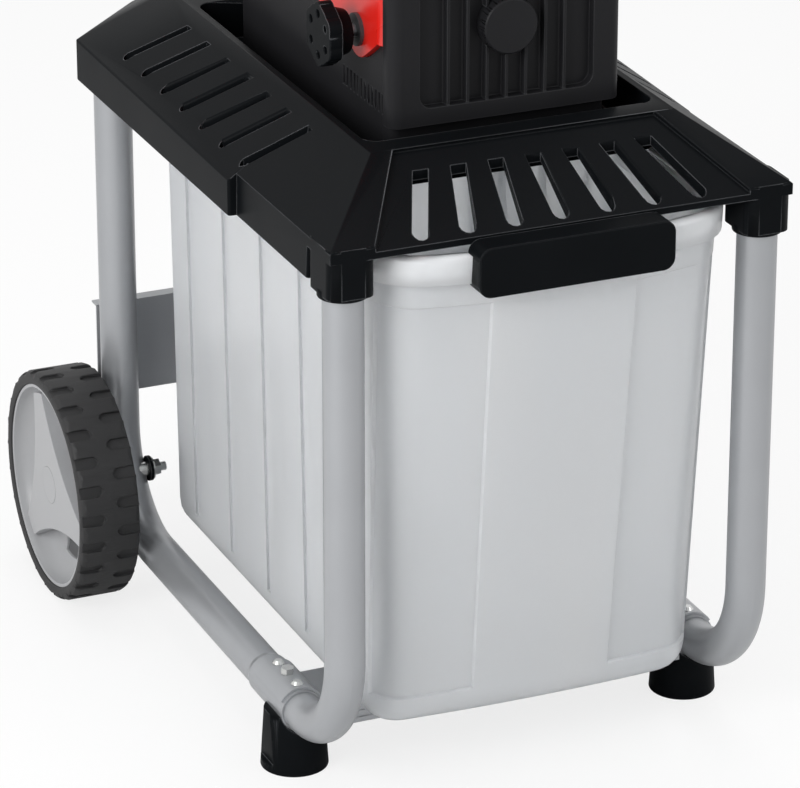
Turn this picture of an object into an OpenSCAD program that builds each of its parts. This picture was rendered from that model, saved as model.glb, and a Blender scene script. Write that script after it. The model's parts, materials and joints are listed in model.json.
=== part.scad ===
// Garden shredder: a roller cutter on a tube stand with two wheels and a pull-out collecting box.
// Millimetres, +Z up, the front faces -Y, the origin lies on the floor under the middle of the machine.
// Places along the machine are given as a distance behind the axis of the front legs.

/* [Stand] */
// Outer diameter of the frame tubes
tube_d = 32; // [28:1:36]
// Wall of the frame tubes
tube_wall = 1.5; // [1.2:0.1:2.5]
// Distance between the left and right leg axes
leg_span_x = 346; // [340:1:370]
// Distance between the front and rear leg axes
leg_span_y = 504; // [490:1:530]
// Height of the lower tube axis above the floor
low_tube_z = 54; // [50:1:58]
// Centre-line radius of the tube bends
bend_r = 85; // [75:1:88]
// How far the sleeve starts behind the front leg axis
sleeve_y = 89; // [88:1:96]
// Length of the widened sleeve at the front of the lower tube
sleeve_len = 72; // [66:1:80]
// Length of the front leg's tail inside the sleeve
tail_in_sleeve = 66; // [60:1:66]
// Sheet thickness of the cross rail
rail_t = 2; // [1.5:0.5:3]
// Depth of the cross rail, front to back
rail_depth = 70; // [62:1:80]
// Height of the cross rail's flanges
rail_h = 17; // [12:1:20]
// Height of the cross plate behind the rear legs
plate_h = 84; // [70:1:95]
// Height of the cross plate's lower edge
plate_z = 160; // [150:1:180]
// Sheet thickness of the cross plate
plate_t = 1.5; // [1:0.5:3]
// Diameter of a foot on the floor
foot_d = 55; // [50:1:60]
// Height of a foot
foot_h = 50; // [44:1:52]

/* [Wheels] */
// Diameter of the wheels
wheel_d = 200; // [190:1:208]
// Width of the tyre
wheel_w = 53; // [46:1:58]
// Diameter of the rim's seat under the tyre
rim_d = 177; // [168:1:182]
// Depth of the pockets in the tread
tread_depth = 3; // [2:0.5:4]
// Tread pockets in a row
tread_count = 25; // [20:1:30]
// Depth of the bowl in the outer side of the wheels
bowl_depth = 22; // [18:1:24]
// How far the star in the bowl lies below the outer side
star_depth = 5; // [3:0.5:8]
// Gap between the leg and the wheel
wheel_gap = 9.5; // [8:0.5:14]
// How far the axle lies in front of the rear leg axis
axle_setback = 19; // [17:1:20]
// Diameter of the axle bolt
axle_d = 12; // [10:1:14]
// Diameter of the thread at the axle bolt's inner end
thread_d = 8; // [6:1:10]

/* [Base hood] */
// Half width of the hood at the front
hood_front_x = 192; // [190:1:204]
// Half width of the hood behind the step in its sides
hood_rear_x = 199; // [194:1:206]
// Where the sides step out
hood_step_y = 168; // [150:1:190]
// How far the hood reaches in front of the front leg axis
hood_nose = 21; // [19:1:24]
// How far the hood reaches behind the front leg axis
hood_tail = 595.5; // [588:0.5:610]
// Length of the slanted rear corners
hood_corner = 76; // [60:1:82]
// Height of the hood's lower edge
skirt_z = 450; // [445:1:454]
// Height of the eaves
eave_z = 486; // [482:1:490]
// Height of the ridge round the well
ridge_z = 530; // [522:1:536]
// Half width of the ridge
ridge_x = 127; // [125:1:132]
// Where the front roof meets the ridge
ridge_y = 55; // [50:1:60]
// Half width of the well that holds the machine
well_x = 121; // [116:1:122]
// Front of the well
well_y = 76; // [70:1:80]
// Rear of the well
well_end = 440; // [436:1:460]
// Height of the well's floor
well_z = 496; // [492:1:500]
// Wall of the hood
hood_wall = 3; // [2.5:0.5:4]
// Depth of the front grille below the roof
grille_depth = 4; // [3:0.5:6]
// Slots in the front grille and in each side
slot_count = 7; // [5:2:9]
// Width of a slot in the front grille
front_slot_w = 13; // [10:0.5:15]
// Width of a slot in the sides
side_slot_w = 10; // [7:0.5:12]

/* [Collecting box] */
// Gap between the box and the legs
box_leg_gap = 12; // [10.5:0.5:16]
// Height of the box's underside
box_z = 58; // [56:1:62]
// Height of the box's rim
box_top = 470; // [462:1:474]
// Height of the rim band
rim_h = 23; // [18:1:28]
// How far the rim stands out
rim_out = 6; // [5:0.5:7]
// Wall of the box
box_wall = 3; // [2.5:0.5:4]
// How far the rear wall of the box stands in front of the rear leg axis
box_rear_gap = 30; // [28:1:40]
// How far the middle of the box's front stands in front of the front leg axis
box_nose = 31; // [26:1:32]
// How much the front bows out between its corners
box_bow = 24; // [18:1:28]
// How far the sides lean in over their height
box_lean = 5; // [3:0.5:8]
// How far the front leans back over its height
box_rake = 46; // [36:1:50]
// How far the box's corner panels lie behind its front
panel_step = 1.5; // [1:0.5:2]
// Half width of the front between the corner panels
front_panel_x = 60; // [50:1:66]
// How far the flutes in the sides stand out
flute_out = 1.5; // [1:0.5:2]
// Flutes in each side
flute_count = 4; // [3:1:5]
// Half width of the grip
grip_x = 81; // [70:1:90]
// Height of the grip
grip_h = 40; // [34:1:46]
// How far the grip reaches in front of the front leg axis
grip_reach = 44.5; // [43.5:0.5:50]

/* [Housing] */
// Half width of the machine
body_x = 97; // [95:1:102]
// Where the front cover's face stands
cover_y = 88; // [84:1:92]
// Depth of the front cover
cover_depth = 16; // [14:1:20]
// Height of the front cover's lower edge
cover_z = 532; // [530:1:540]
// Height of the front cover's upper edge
cover_top = 700; // [696:1:704]
// Rear of the machine
body_end = 418; // [416:1:424]
// Wall of the housings
body_wall = 3; // [2.5:0.5:4]
// Height where the red housing starts
red_z = 593; // [585:1:598]
// Top of the red housing
red_top = 700; // [698:1:706]
// Ribs on the front cover
rib_count = 7; // [5:2:9]
// Distance between the ribs
rib_pitch = 16.2; // [14:0.2:17]
// Diameter of the cap on the front cover
cap_d = 45; // [40:1:50]
// Thickness of the cap
cap_t = 16; // [12:1:18]

/* [Hopper] */
// Half width of the hopper's mouth
mouth_x = 150; // [130:1:160]
// Depth of the hopper's mouth, front to back
mouth_depth = 236; // [200:1:250]
// Height of the hopper's rim
hopper_top = 980; // [950:1:1000]
// Height where the neck ends and the hopper flares
neck_top = 764; // [758:1:775]
// Wall of the hopper
hopper_wall = 3; // [2.5:0.5:4]
// Height of the rim round the mouth
mouth_rim_h = 24; // [20:1:30]
// Depth of the finger opening in the carrying grip
finger_depth = 32; // [28:1:36]

/* [Cutter and drive] */
// Diameter over the cutter's teeth
cutter_d = 84; // [78:1:84]
// Length of the cutter roller
cutter_len = 70; // [60:1:70]
// Teeth round the cutter roller
cutter_teeth = 8; // [6:1:10]
// Height of the cutter's axis
cutter_z = 605; // [603:1:607]
// Diameter of the cutter's shaft
shaft_d = 20; // [16:1:22]
// Outer diameter of the shaft bearings
bearing_d = 42; // [36:1:44]
// Gap between the cutter's teeth and the pressure plate
plate_gap = 1.5; // [1.2:0.1:2.5]
// Thickness of the pressure plate
press_t = 24; // [22:1:25]
// Diameter of the adjusting spindle
spindle_d = 10; // [8:0.5:12]
// Diameter of the adjusting knob
knob_d = 52; // [46:1:56]
// Teeth on each driving pinion
pinion_teeth = 12; // [12:1:14]
// Teeth on each driven gear
wheel_teeth = 72; // [66:1:74]
// Module of the gear pair at the motor
module_fast = 1; // [0.95:0.05:1.05]
// Module of the gear pair at the cutter
module_slow = 1.75; // [1.7:0.05:1.8]
// Diameter of the motor's shell
motor_d = 124; // [118:1:126]
// Length of the motor
motor_len = 128; // [120:1:130]
// Diameter of the motor's shaft
motor_shaft_d = 14; // [12:1:15]

/* [Controls] */
// Half width of the control panel
panel_x = 66; // [60:1:70]
// Diameter of the start and stop buttons
button_d = 22; // [18:1:24]
// Travel of the buttons
button_travel = 3; // [2:0.5:4]
// Diameter of the direction knob
selector_d = 30; // [26:1:32]

/* [Hidden] */
$fn = 64;

// Clearances, and how far a cut runs past its face
seat_gap = 0.02;
run_gap = 0.05;
slide_gap = 0.5;
free_gap = 0.3;
sleeve_gap = 0.15;
cut = 1;

// Colours as photographed
black_plastic = "#1d1d1f";
tube_grey = "#a6a8ab";
box_milky = "#dfe1e4";
housing_red = "#c8140f";
zinc = "#b9bcc0";
rim_grey = "#b4b7ba";
cast_grey = "#8d9094";
steel = "#9a9da1";
copper = "#b46a3c";
dark_plastic = "#3a3a3c";
start_green = "#2f8f3a";
bare_aluminium = "#c9ccd0";

// Stand
leg_x = leg_span_x / 2;
y_front = (grip_reach - hood_tail) / 2;
function yf(d) = y_front + d;
leg_top_z = eave_z - 6;
sleeve_in = tube_d / 2 + sleeve_gap;
sleeve_out = sleeve_in + tube_wall;
saddle_out = sleeve_out + seat_gap + rail_t;
rail_top = box_z - slide_gap;
rail_y = sleeve_y - 11;
saddle_y = sleeve_y + 3;
saddle_len = rail_y + rail_depth - saddle_y;
rivet_pitch = 40;
bolt_y = saddle_y + rivet_pitch / 2 + 8;
rivet_d = 5;
saddle_bolt_d = 6;
plate_screw_d = 5;
plate_y = leg_span_y + tube_d / 2 + seat_gap;
foot_y = sleeve_y + 18;

// Wheels
axle_y = leg_span_y - axle_setback;
axle_z = wheel_d / 2;
hub_in = leg_x + tube_d / 2 + wheel_gap;
hub_len = 30;
hub_out = hub_in + hub_len;
axle_head_t = 6;
hub_r = 21;
cap_r = 16;
hub_cap_t = 4;
star_face = wheel_w - star_depth;
star_turn = 42;
washer_t = 3;
washer_r = 11;
nut_t = 7.5;
nut_flange_t = 1.5;
axle_step = leg_x - tube_d / 2;
axle_end = axle_step - washer_t - nut_t - 6;

// Sides of the box
box_x = leg_x - tube_d / 2 - box_leg_gap;
box_rear = leg_span_y - box_rear_gap;

// Hood
eave_h = 10;
eave_ease = 1.5;
rear_run = hood_rear_x - ridge_x;
side_slope = (ridge_z - eave_z) / (hood_rear_x - ridge_x);
roof_tilt = atan((ridge_z - eave_z) / (ridge_y + hood_nose));
front_drop = hood_wall + 9;
rear_drop = hood_wall + 3;
block_w = 38;
block_d = 46;
block_z = skirt_z - 4;
socket_r = tube_d / 2 + free_gap;
collar_h = 3;
collar_t = 3.5;
well_r = 12;
well_floor = 4;
slot_pitch_rear = 31;
slot_pitch_front = 38.4;
slot_inset = 15;
slot_nose = 4;
side_slot_y = 173;
side_slot_pitch = 43.6;
side_slot_sweep = 27;
side_slot_inset = 12;
grille_front_x = 155;
grille_rear_x = 110;
runner_t = 4;
runner_gap = 2.5;
guide_x = box_x + rim_out + 4;

// Box
box_corner_r = 30;
box_bottom_r = 26;
box_side_lean = atan(box_lean / (box_top - box_z));
panel_top = box_top - rim_h - 20;
panel_taper = 6;
flute_y = 155;
flute_w = (box_rear - box_corner_r - flute_y) / (2 * flute_count - 1);
flute_z = 28;
flute_h = box_top - rim_h - box_z - flute_z - 7;
flute_slant = 2;
grip_rise = 10;

// Housing
wall_y = cover_y + cover_depth;
lower_x = body_x - body_wall - 2;
lower_end = body_end - 2;
floor_top = well_z + seat_gap + body_wall;
body_r = 10;
shoulder = 40;
shoulder_in = 14;
vent_count = 12;
panel_margin = 24.5;
panel_border = 14;
panel_recess = 8;
rib_set_back = 1;

// Cutter
case_t = 12;
case_y = wall_y + body_wall + 1;
chamber_y = case_y + case_t;
chamber_len = cutter_len + 5;
case_end = chamber_y + chamber_len + case_t;
chamber_left = -(cutter_d / 2 + plate_gap + press_t + 7);
chamber_right = cutter_d / 2 + 8;
case_side_t = 6;
case_top = red_top - 20;
case_bottom = floor_top + seat_gap;
bearing_w = 11;
journal = 8;
chute_wall = 3;
chute_x0 = chamber_left - chute_wall;
chute_x1 = chamber_right + chute_wall;
chute_y0 = chamber_y - chute_wall;
chute_y1 = chamber_y + chamber_len + chute_wall;
chute_z = box_top + 6;

// Adjuster
spindle_y = chamber_y + 32;
spindle_z = cutter_z - 11;
bush_r = 9;
boss_r = 22;
knob_t = 23;
knob_face = -body_x - 33;
spindle_tip = -cutter_d / 2 - plate_gap - press_t + 13;

// Controls
panel_y = cover_y + 3;
panel_z = cover_top + seat_gap;
panel_front_h = 14;
panel_depth = 34;
panel_rise = 40;
panel_tilt = atan(panel_rise / panel_depth);
control_v = sqrt(pow(panel_rise, 2) + pow(panel_depth, 2)) / 2 - 6;
button_depth = 8;
start_x = -42;
stop_x = -12;
selector_x = 24;
selector_stem = 8;
reset_x = 50;
reset_d = 9;

// Hopper
neck_x0 = -62;
neck_x1 = chamber_right - 4;
neck_y0 = chamber_y + 11;
neck_y1 = chamber_y + chamber_len - 1;
neck_r = 10;
mouth_r = 34;
mouth_set = 49;
mouth_y0 = neck_y0 - mouth_set;
mouth_lip = 6;
mouth_z = hopper_top - mouth_rim_h / 4;
casing_x = body_x - shoulder_in - 2;
casing_y0 = panel_y + panel_depth + 1;
casing_depth = 176;
casing_y1 = casing_y0 + casing_depth;
casing_z = panel_z + panel_front_h + panel_rise + 2;
casing_r = 16;
grip_loop_w = 170;

// Drive
pressure_angle = 25;
backlash = 0.35;
gear_room = 3;
gear_c_slow = module_slow * (pinion_teeth + wheel_teeth) / 2;
gear_c_fast = module_fast * (pinion_teeth + wheel_teeth) / 2;
lay_x = 40;
lay_z = cutter_z - sqrt(pow(gear_c_slow, 2) - pow(lay_x, 2));
motor_x = 10;
motor_z = lay_z + sqrt(pow(gear_c_fast, 2) - pow(lay_x - motor_x, 2));
slow_angle = atan2(cutter_z - lay_z, lay_x);
fast_angle = atan2(lay_z - motor_z, motor_x - lay_x);
slow_gear_y = case_end + 5;
slow_gear_w = 20;
fast_gear_y = slow_gear_y + slow_gear_w + 6;
fast_gear_w = 12;
gear_case_t = 5;
gear_case_end = fast_gear_y + fast_gear_w + 4 + gear_case_t;
lay_d = 12;
motor_y = gear_case_end;
motor_end = motor_y + motor_len;
rotor_r = motor_d * 0.26;
stator_y = motor_y + 30;
stator_len = 52;
capacitor_r = 18;
cap_reach = motor_d / 2 + capacitor_r + seat_gap;

// Mains inlet
inlet_w = 60;
inlet_h = 40;
inlet_z = red_z + 40;

// Rounded rectangle about the origin
module rrect(w, h, r) {
  square([w - 2 * r, h], center = true);
  square([w, h - 2 * r], center = true);
  for (sx = [-1, 1], sy = [-1, 1])
    translate([sx * (w / 2 - r), sy * (h / 2 - r)])
      circle(r);
}

// Slab of a rounded rectangle at one height, between two distances behind the front leg axis
module slab(x0, x1, d0, d1, z, r, t = 0.5) {
  translate([(x0 + x1) / 2, yf((d0 + d1) / 2), z])
    linear_extrude(t)
      rrect(x1 - x0, d1 - d0, r);
}

// Round bar along Y from one distance behind the front leg axis to another
module bar_y(x, z, d0, d1, r) {
  translate([x, yf(d0), z])
    rotate([-90, 0, 0])
      cylinder(r = r, h = d1 - d0);
}

// Round bar along X
module bar_x(x0, x1, d, z, r) {
  translate([x0, yf(d), z])
    rotate([0, 90, 0])
      cylinder(r = r, h = x1 - x0);
}

// Places a piece for the right-hand side, or mirrors it to the left
module on_side(s) {
  mirror([s < 0 ? 1 : 0, 0, 0])
    children();
}

// Stand

// Upright that bends into a run along +Y; the upright's axis is the origin's Z axis
module bent_bar(r, top_z, run) {
  bend_z = low_tube_z + bend_r;
  translate([0, 0, bend_z])
    cylinder(r = r, h = top_z - bend_z);
  translate([0, bend_r, bend_z])
    rotate([0, 90, 0])
      rotate([0, 0, -90])
        rotate_extrude(angle = 90)
          translate([bend_r, 0])
            circle(r);
  translate([0, bend_r, low_tube_z])
    rotate([-90, 0, 0])
      cylinder(r = r, h = run - bend_r);
}

// Holes for the bolt and the rivets that hold saddle, sleeve and tail together
module saddle_holes() {
  translate([leg_x, yf(bolt_y), low_tube_z])
    cylinder(d = saddle_bolt_d + 2 * free_gap, h = tube_d);
  for (s = [-1, 1])
    translate([leg_x, yf(bolt_y + s * rivet_pitch / 2), low_tube_z])
      cylinder(d = rivet_d + 2 * free_gap, h = tube_d);
}

module front_leg(s) {
  color(tube_grey)
    on_side(s)
      difference() {
        translate([leg_x, yf(0), 0])
          bent_bar(tube_d / 2, leg_top_z, sleeve_y + tail_in_sleeve);
        translate([leg_x, yf(0), 0])
          bent_bar(tube_d / 2 - tube_wall, leg_top_z + cut, sleeve_y + tail_in_sleeve + cut);
        saddle_holes();
      }
}

module rear_leg(s) {
  sleeve_end = sleeve_y + sleeve_len;
  color(tube_grey)
    on_side(s)
      difference() {
        union() {
          translate([leg_x, yf(leg_span_y), 0])
            mirror([0, 1, 0])
              bent_bar(tube_d / 2, leg_top_z, leg_span_y - sleeve_end);
          bar_y(leg_x, low_tube_z, sleeve_y, sleeve_end, sleeve_out);
          translate([leg_x, yf(sleeve_end), low_tube_z])
            rotate([-90, 0, 0])
              cylinder(r1 = sleeve_out, r2 = tube_d / 2, h = 6);
        }
        translate([leg_x, yf(leg_span_y), 0])
          mirror([0, 1, 0])
            bent_bar(tube_d / 2 - tube_wall, leg_top_z + cut, leg_span_y - sleeve_end + 3);
        bar_y(leg_x, low_tube_z, sleeve_y - cut, sleeve_end - 3, sleeve_in);
        saddle_holes();
        bar_x(leg_x - tube_d, leg_x + tube_d, axle_y, axle_z, axle_d / 2 + seat_gap);
        for (z = plate_screw_heights())
          bar_y(leg_x, z, leg_span_y, leg_span_y + tube_d, plate_screw_d / 2 + free_gap);
      }
}

function plate_screw_heights() = [plate_z + plate_h * 0.25, plate_z + plate_h * 0.75];

// Folded channel under the front of the box, with a saddle over each sleeve
module front_rail() {
  half = leg_x - sleeve_out - seat_gap;
  groove = rail_t / 2;
  color(tube_grey)
    difference() {
      union() {
        translate([-half, yf(rail_y), rail_top - rail_t])
          cube([2 * half, rail_depth, rail_t]);
        for (d = [rail_y, rail_y + rail_depth - rail_t])
          translate([-half, yf(d), rail_top - rail_h])
            cube([2 * half, rail_t, rail_h]);
        for (s = [-1, 1])
          on_side(s)
            translate([leg_x, yf(saddle_y), low_tube_z])
              rotate([-90, 0, 0])
                rotate([0, 0, 180])
                  rotate_extrude(angle = 150)
                    translate([sleeve_out + seat_gap, 0])
                      square([rail_t, saddle_len]);
      }
      for (z = [rail_top - rail_h * 0.4, rail_top - rail_h * 0.75])
        translate([-half - cut, yf(rail_y) - groove, z])
          cube([2 * half + 2 * cut, 2 * groove - 0.2, 2.4]);
      for (s = [-1, 1])
        on_side(s)
          saddle_holes();
    }
}

module rear_plate() {
  half = leg_x + tube_d / 2 - 2;
  flange = 12;
  bead_r = 3;
  bead_len = 38;
  color(tube_grey)
    difference() {
      union() {
        translate([-half, yf(plate_y), plate_z])
          cube([2 * half, plate_t, plate_h]);
        for (z = [plate_z, plate_z + plate_h - plate_t])
          translate([-half, yf(plate_y), z])
            cube([2 * half, flange, plate_t]);
        for (s = [-1, 1], k = [1:3])
          translate([s * (leg_x - 45) - bead_len / 2, yf(plate_y + plate_t), plate_z + plate_h * k / 4])
            rotate([0, 90, 0])
              cylinder(r = bead_r, h = bead_len);
      }
      translate([-half - cut, yf(plate_y) - 10, plate_z - cut])
        cube([2 * half + 2 * cut, 10, plate_h + 2 * cut]);
      for (s = [-1, 1], z = plate_screw_heights())
        bar_y(s * leg_x, z, plate_y - cut, plate_y + plate_t + cut, plate_screw_d / 2 + free_gap);
    }
}

// Tapered foot with a saddle for the sleeve, a flat on its outer side and room for the cross rail
module foot(s) {
  top_d = foot_d * 0.88;
  color(black_plastic)
    on_side(s)
      difference() {
        translate([leg_x, yf(foot_y), 0])
          cylinder(d1 = foot_d, d2 = top_d, h = foot_h);
        bar_y(leg_x, low_tube_z, foot_y - foot_d, foot_y + foot_d, sleeve_out + seat_gap);
        translate([leg_x + foot_d * 0.43, yf(foot_y) - foot_d, 8])
          cube([foot_d, 2 * foot_d, foot_h]);
        translate([leg_x - foot_d, yf(foot_y) - foot_d, rail_top - rail_h - free_gap])
          cube([foot_d - sleeve_out + free_gap, 2 * foot_d, foot_h]);
      }
}

module saddle_bolts() {
  head_z = low_tube_z + saddle_out;
  color(zinc)
    for (s = [-1, 1])
      translate([s * leg_x, yf(bolt_y), 0]) {
        translate([0, 0, head_z + seat_gap])
          cylinder(d = 11, h = 5, $fn = 6);
        translate([0, 0, low_tube_z + 6])
          cylinder(d = saddle_bolt_d, h = head_z - low_tube_z - 5);
      }
}

module saddle_rivets() {
  head_z = low_tube_z + saddle_out;
  color(zinc)
    for (s = [-1, 1], k = [-1, 1])
      translate([s * leg_x, yf(bolt_y + k * rivet_pitch / 2), 0]) {
        translate([0, 0, head_z + seat_gap])
          cylinder(d1 = 10, d2 = 6, h = 2.4);
        translate([0, 0, low_tube_z + 9])
          cylinder(d = rivet_d, h = head_z - low_tube_z - 8);
      }
}

module plate_screws() {
  head_y = plate_y + plate_t + seat_gap;
  color(zinc)
    for (s = [-1, 1], z = plate_screw_heights()) {
      bar_y(s * leg_x, z, head_y, head_y + 3, plate_screw_d);
      bar_y(s * leg_x, z, leg_span_y + 6, head_y + cut, plate_screw_d / 2);
    }
}

// Wheels

module axle(s) {
  head = hub_out + free_gap;
  color(zinc)
    on_side(s) {
      bar_x(axle_end, axle_step + cut, axle_y, axle_z, thread_d / 2);
      bar_x(axle_step, head + cut, axle_y, axle_z, axle_d / 2);
      bar_x(head, head + axle_head_t, axle_y, axle_z, axle_d);
    }
}

module wheel_spacers() {
  color(black_plastic)
    for (s = [-1, 1])
      on_side(s)
        difference() {
          bar_x(leg_x + tube_d / 2 + seat_gap, hub_in - free_gap, axle_y, axle_z, axle_d * 0.95);
          bar_x(leg_x, hub_in, axle_y, axle_z, axle_d / 2 + seat_gap);
        }
}

module axle_washers() {
  inner = axle_step - seat_gap;
  color(black_plastic)
    for (s = [-1, 1])
      on_side(s)
        difference() {
          bar_x(inner - washer_t, inner, axle_y, axle_z, washer_r);
          bar_x(inner - washer_t - cut, inner + cut, axle_y, axle_z, thread_d / 2 + seat_gap);
        }
}

// Flanged hexagon nuts on the threads
module axle_nuts() {
  outer = axle_step - washer_t - 2 * seat_gap;
  color(zinc)
    for (s = [-1, 1])
      on_side(s)
        difference() {
          union() {
            bar_x(outer - nut_flange_t, outer, axle_y, axle_z, washer_r - 1);
            translate([outer - nut_t, yf(axle_y), axle_z])
              rotate([0, 90, 0])
                cylinder(r = thread_d * 0.94, h = nut_t, $fn = 6);
          }
          bar_x(outer - nut_t - cut, outer + cut, axle_y, axle_z, thread_d / 2 + seat_gap);
        }
}

// Turns a wheel profile drawn as radius and distance from the inner face about the axle
module on_axle(s) {
  on_side(s)
    translate([hub_in, yf(axle_y), axle_z])
      rotate([0, 90, 0])
        children();
}

// Three-armed star with slightly hollow sides; inset draws its sides in
module star(inset, z0, z1) {
  arm_r = rim_d / 2 - 8;
  waist_r = 39;
  side_r = 212;
  translate([0, 0, z0])
    difference() {
      cylinder(r = arm_r - inset, h = z1 - z0);
      for (k = [0:2])
        rotate([0, 0, star_turn + 60 + 120 * k])
          translate([waist_r + side_r, 0, -cut])
            cylinder(r = side_r + inset, h = z1 - z0 + 2 * cut);
    }
}

// Bowl-shaped rim with a hollow star standing in it and a window in the floor between the star's arms
module rim(s) {
  rim_r = rim_d / 2 - seat_gap;
  lip = 3;
  wall = 3;
  curve_w = 22;
  top = wheel_w - 2;
  floor_z = wheel_w - bowl_depth;
  window_in = 47;
  window_out = 68;
  window_deg = 50;
  color(rim_grey)
    on_axle(s)
      difference() {
        union() {
          difference() {
            union() {
              rotate_extrude()
                polygon([
                  [rim_r, 2], [rim_r, top],
                  for (a = [0:15:90])
                    [rim_r - lip - curve_w * (1 - cos(a)), top - (top - floor_z) * sin(a)],
                  [hub_r - 1, floor_z], [hub_r - 1, floor_z - wall],
                  [rim_r - curve_w - wall, floor_z - wall], [rim_r - curve_w / 2 - 1, floor_z],
                  [rim_r - wall - 1, floor_z + curve_w / 2 - 2], [rim_r - wall - 1, 2]
                ]);
              star(0, floor_z - wall, star_face);
            }
            star(wall, floor_z - wall - cut, star_face - hub_cap_t);
            for (k = [0:2])
              rotate([0, 0, star_turn + 60 + 120 * k - window_deg / 2])
                translate([0, 0, floor_z - wall - cut])
                  rotate_extrude(angle = window_deg)
                    translate([window_in, 0])
                      square([window_out - window_in, wall + 2 * cut]);
          }
          cylinder(r = hub_r, h = star_face - 1);
        }
        translate([0, 0, -cut])
          cylinder(d = axle_d + 2 * run_gap, h = wheel_w);
        translate([0, 0, hub_len])
          cylinder(r = axle_d + 2, h = wheel_w);
        translate([0, 0, star_face - hub_cap_t])
          cylinder(r = cap_r, h = wheel_w);
      }
}

// Cap over the head of the axle bolt, flush with the star
module hub_cap(s) {
  color(rim_grey)
    on_axle(s)
      translate([0, 0, star_face - hub_cap_t + seat_gap])
        cylinder(r = cap_r - seat_gap, h = hub_cap_t - seat_gap);
}

// Tyre with a row of round-ended pockets cut in from each shoulder, offset by half a pitch
module tyre(s) {
  outer_r = wheel_d / 2;
  rim_r = rim_d / 2;
  shoulder_w = 5;
  side_r = outer_r - shoulder_w - 1;
  pitch = 360 / tread_count;
  pocket_w = PI * wheel_d / tread_count * 0.38;
  pocket_len = wheel_w * 0.4;
  color(black_plastic)
    on_axle(s)
      difference() {
        rotate_extrude()
          polygon([
            [rim_r, 1], [side_r, 0], [outer_r - 1.5, 1.5], [outer_r, shoulder_w],
            [outer_r, wheel_w - shoulder_w], [outer_r - 1.5, wheel_w - 1.5], [side_r, wheel_w],
            [rim_r, wheel_w - 1]
          ]);
        for (k = [0:tread_count - 1], side = [0, 1])
          rotate([0, 0, pitch * (k + side / 2)])
            translate([outer_r - tread_depth, 0, side * wheel_w])
              mirror([0, 0, side])
                rotate([90, 0, 90])
                  linear_extrude(tread_depth + cut)
                    tread_pocket(pocket_w, pocket_len);
      }
}

// Outline of a pocket: open at the shoulder, with a round inner end
module tread_pocket(w, len) {
  translate([-w / 2, -cut])
    square([w, len - w / 2 + cut]);
  translate([0, len - w / 2])
    circle(d = w);
}

// Hood

// Plan of the hood between two distances behind the front leg axis, with slanted rear corners
module hood_plan(x, d0, d1, corner) {
  polygon(concat(
    [[-x, yf(d0)], [x, yf(d0)]],
    corner > 0
      ? [[x, yf(d1 - corner)], [x - corner, yf(d1)], [corner - x, yf(d1)], [-x, yf(d1 - corner)]]
      : [[x, yf(d1)], [-x, yf(d1)]]
  ));
}

// Roof from the eaves to the ridge; wall and drop draw it in for the space underneath
module hood_roof(half_x, d0, d1, corner, ridge_d0, ridge_d1, wall = 0, drop = 0) {
  x = half_x - wall;
  t = 0.5;
  hull() {
    translate([0, 0, eave_z - eave_h - drop])
      linear_extrude(eave_h - eave_ease)
        hood_plan(x, d0, d1, corner);
    translate([0, 0, eave_z - t - drop])
      linear_extrude(t)
        hood_plan(x - eave_ease, d0 + eave_ease, d1 - (corner > 0 ? eave_ease : 0), corner);
    translate([0, 0, ridge_z - t - drop])
      linear_extrude(t)
        hood_plan(ridge_x - wall, ridge_d0, ridge_d1, corner / 2);
  }
}

// Front and rear roof together; the rear one is wider by the step in the sides
module hood_shell(wall, front_drop, rear_drop) {
  step = hood_step_y + wall;
  tail = hood_tail - wall;
  hood_roof(hood_front_x, wall - hood_nose, step, 0, ridge_y, step, wall, front_drop);
  hood_roof(hood_rear_x, step, tail, hood_corner, step, tail - rear_run, wall, rear_drop);
}

module hood_skirt(wall, bottom, front) {
  h = eave_z - eave_h - bottom;
  translate([0, 0, bottom]) {
    linear_extrude(h)
      hood_plan(hood_front_x - wall, front, hood_step_y + wall, 0);
    linear_extrude(h)
      hood_plan(hood_rear_x - wall, hood_step_y + wall, hood_tail - wall, hood_corner);
  }
}

// Block over the top of a front leg, with a collar round the tube
module corner_block() {
  translate([hood_front_x - block_w / 2, yf(block_d / 2 - hood_nose), block_z])
    linear_extrude(eave_z - block_z)
      rrect(block_w, block_d, block_w / 4);
  translate([leg_x, yf(0), block_z - collar_h])
    cylinder(r = socket_r + collar_t, h = 2 * collar_h);
}

// Socket for the top of a rear leg, reaching up to the roof
module leg_boss(top) {
  translate([leg_x, yf(leg_span_y), block_z])
    cylinder(r = socket_r + collar_t, h = top - block_z);
}

// Moulded runner that carries one side of the box's rim: a lip on a web that reaches up to the roof
module box_runner(top) {
  lip_z = box_top - rim_h - run_gap;
  start = tube_d;
  run = box_rear - 2 * tube_d;
  translate([guide_x, yf(start), lip_z - runner_t])
    cube([runner_t, run, top - lip_z + runner_t]);
  translate([box_x + runner_gap, yf(start), lip_z - runner_t])
    cube([guide_x - box_x - runner_gap + runner_t, run, runner_t]);
}

// Slots that fan out over the front grille, with round front ends
module front_slots() {
  r = front_slot_w / 2;
  rear_d = ridge_y - slot_inset;
  front_d = slot_nose - hood_nose + r;
  half = (slot_count - 1) / 2;
  for (k = [-half:half])
    translate([0, 0, skirt_z])
      linear_extrude(ridge_z - skirt_z + cut)
        polygon(concat(
          [[k * slot_pitch_rear + r, yf(rear_d)], [k * slot_pitch_rear - r, yf(rear_d)]],
          [for (a = [180:30:360]) [k * slot_pitch_front + r * cos(a), yf(front_d) + r * sin(a)]]
        ));
}

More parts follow.
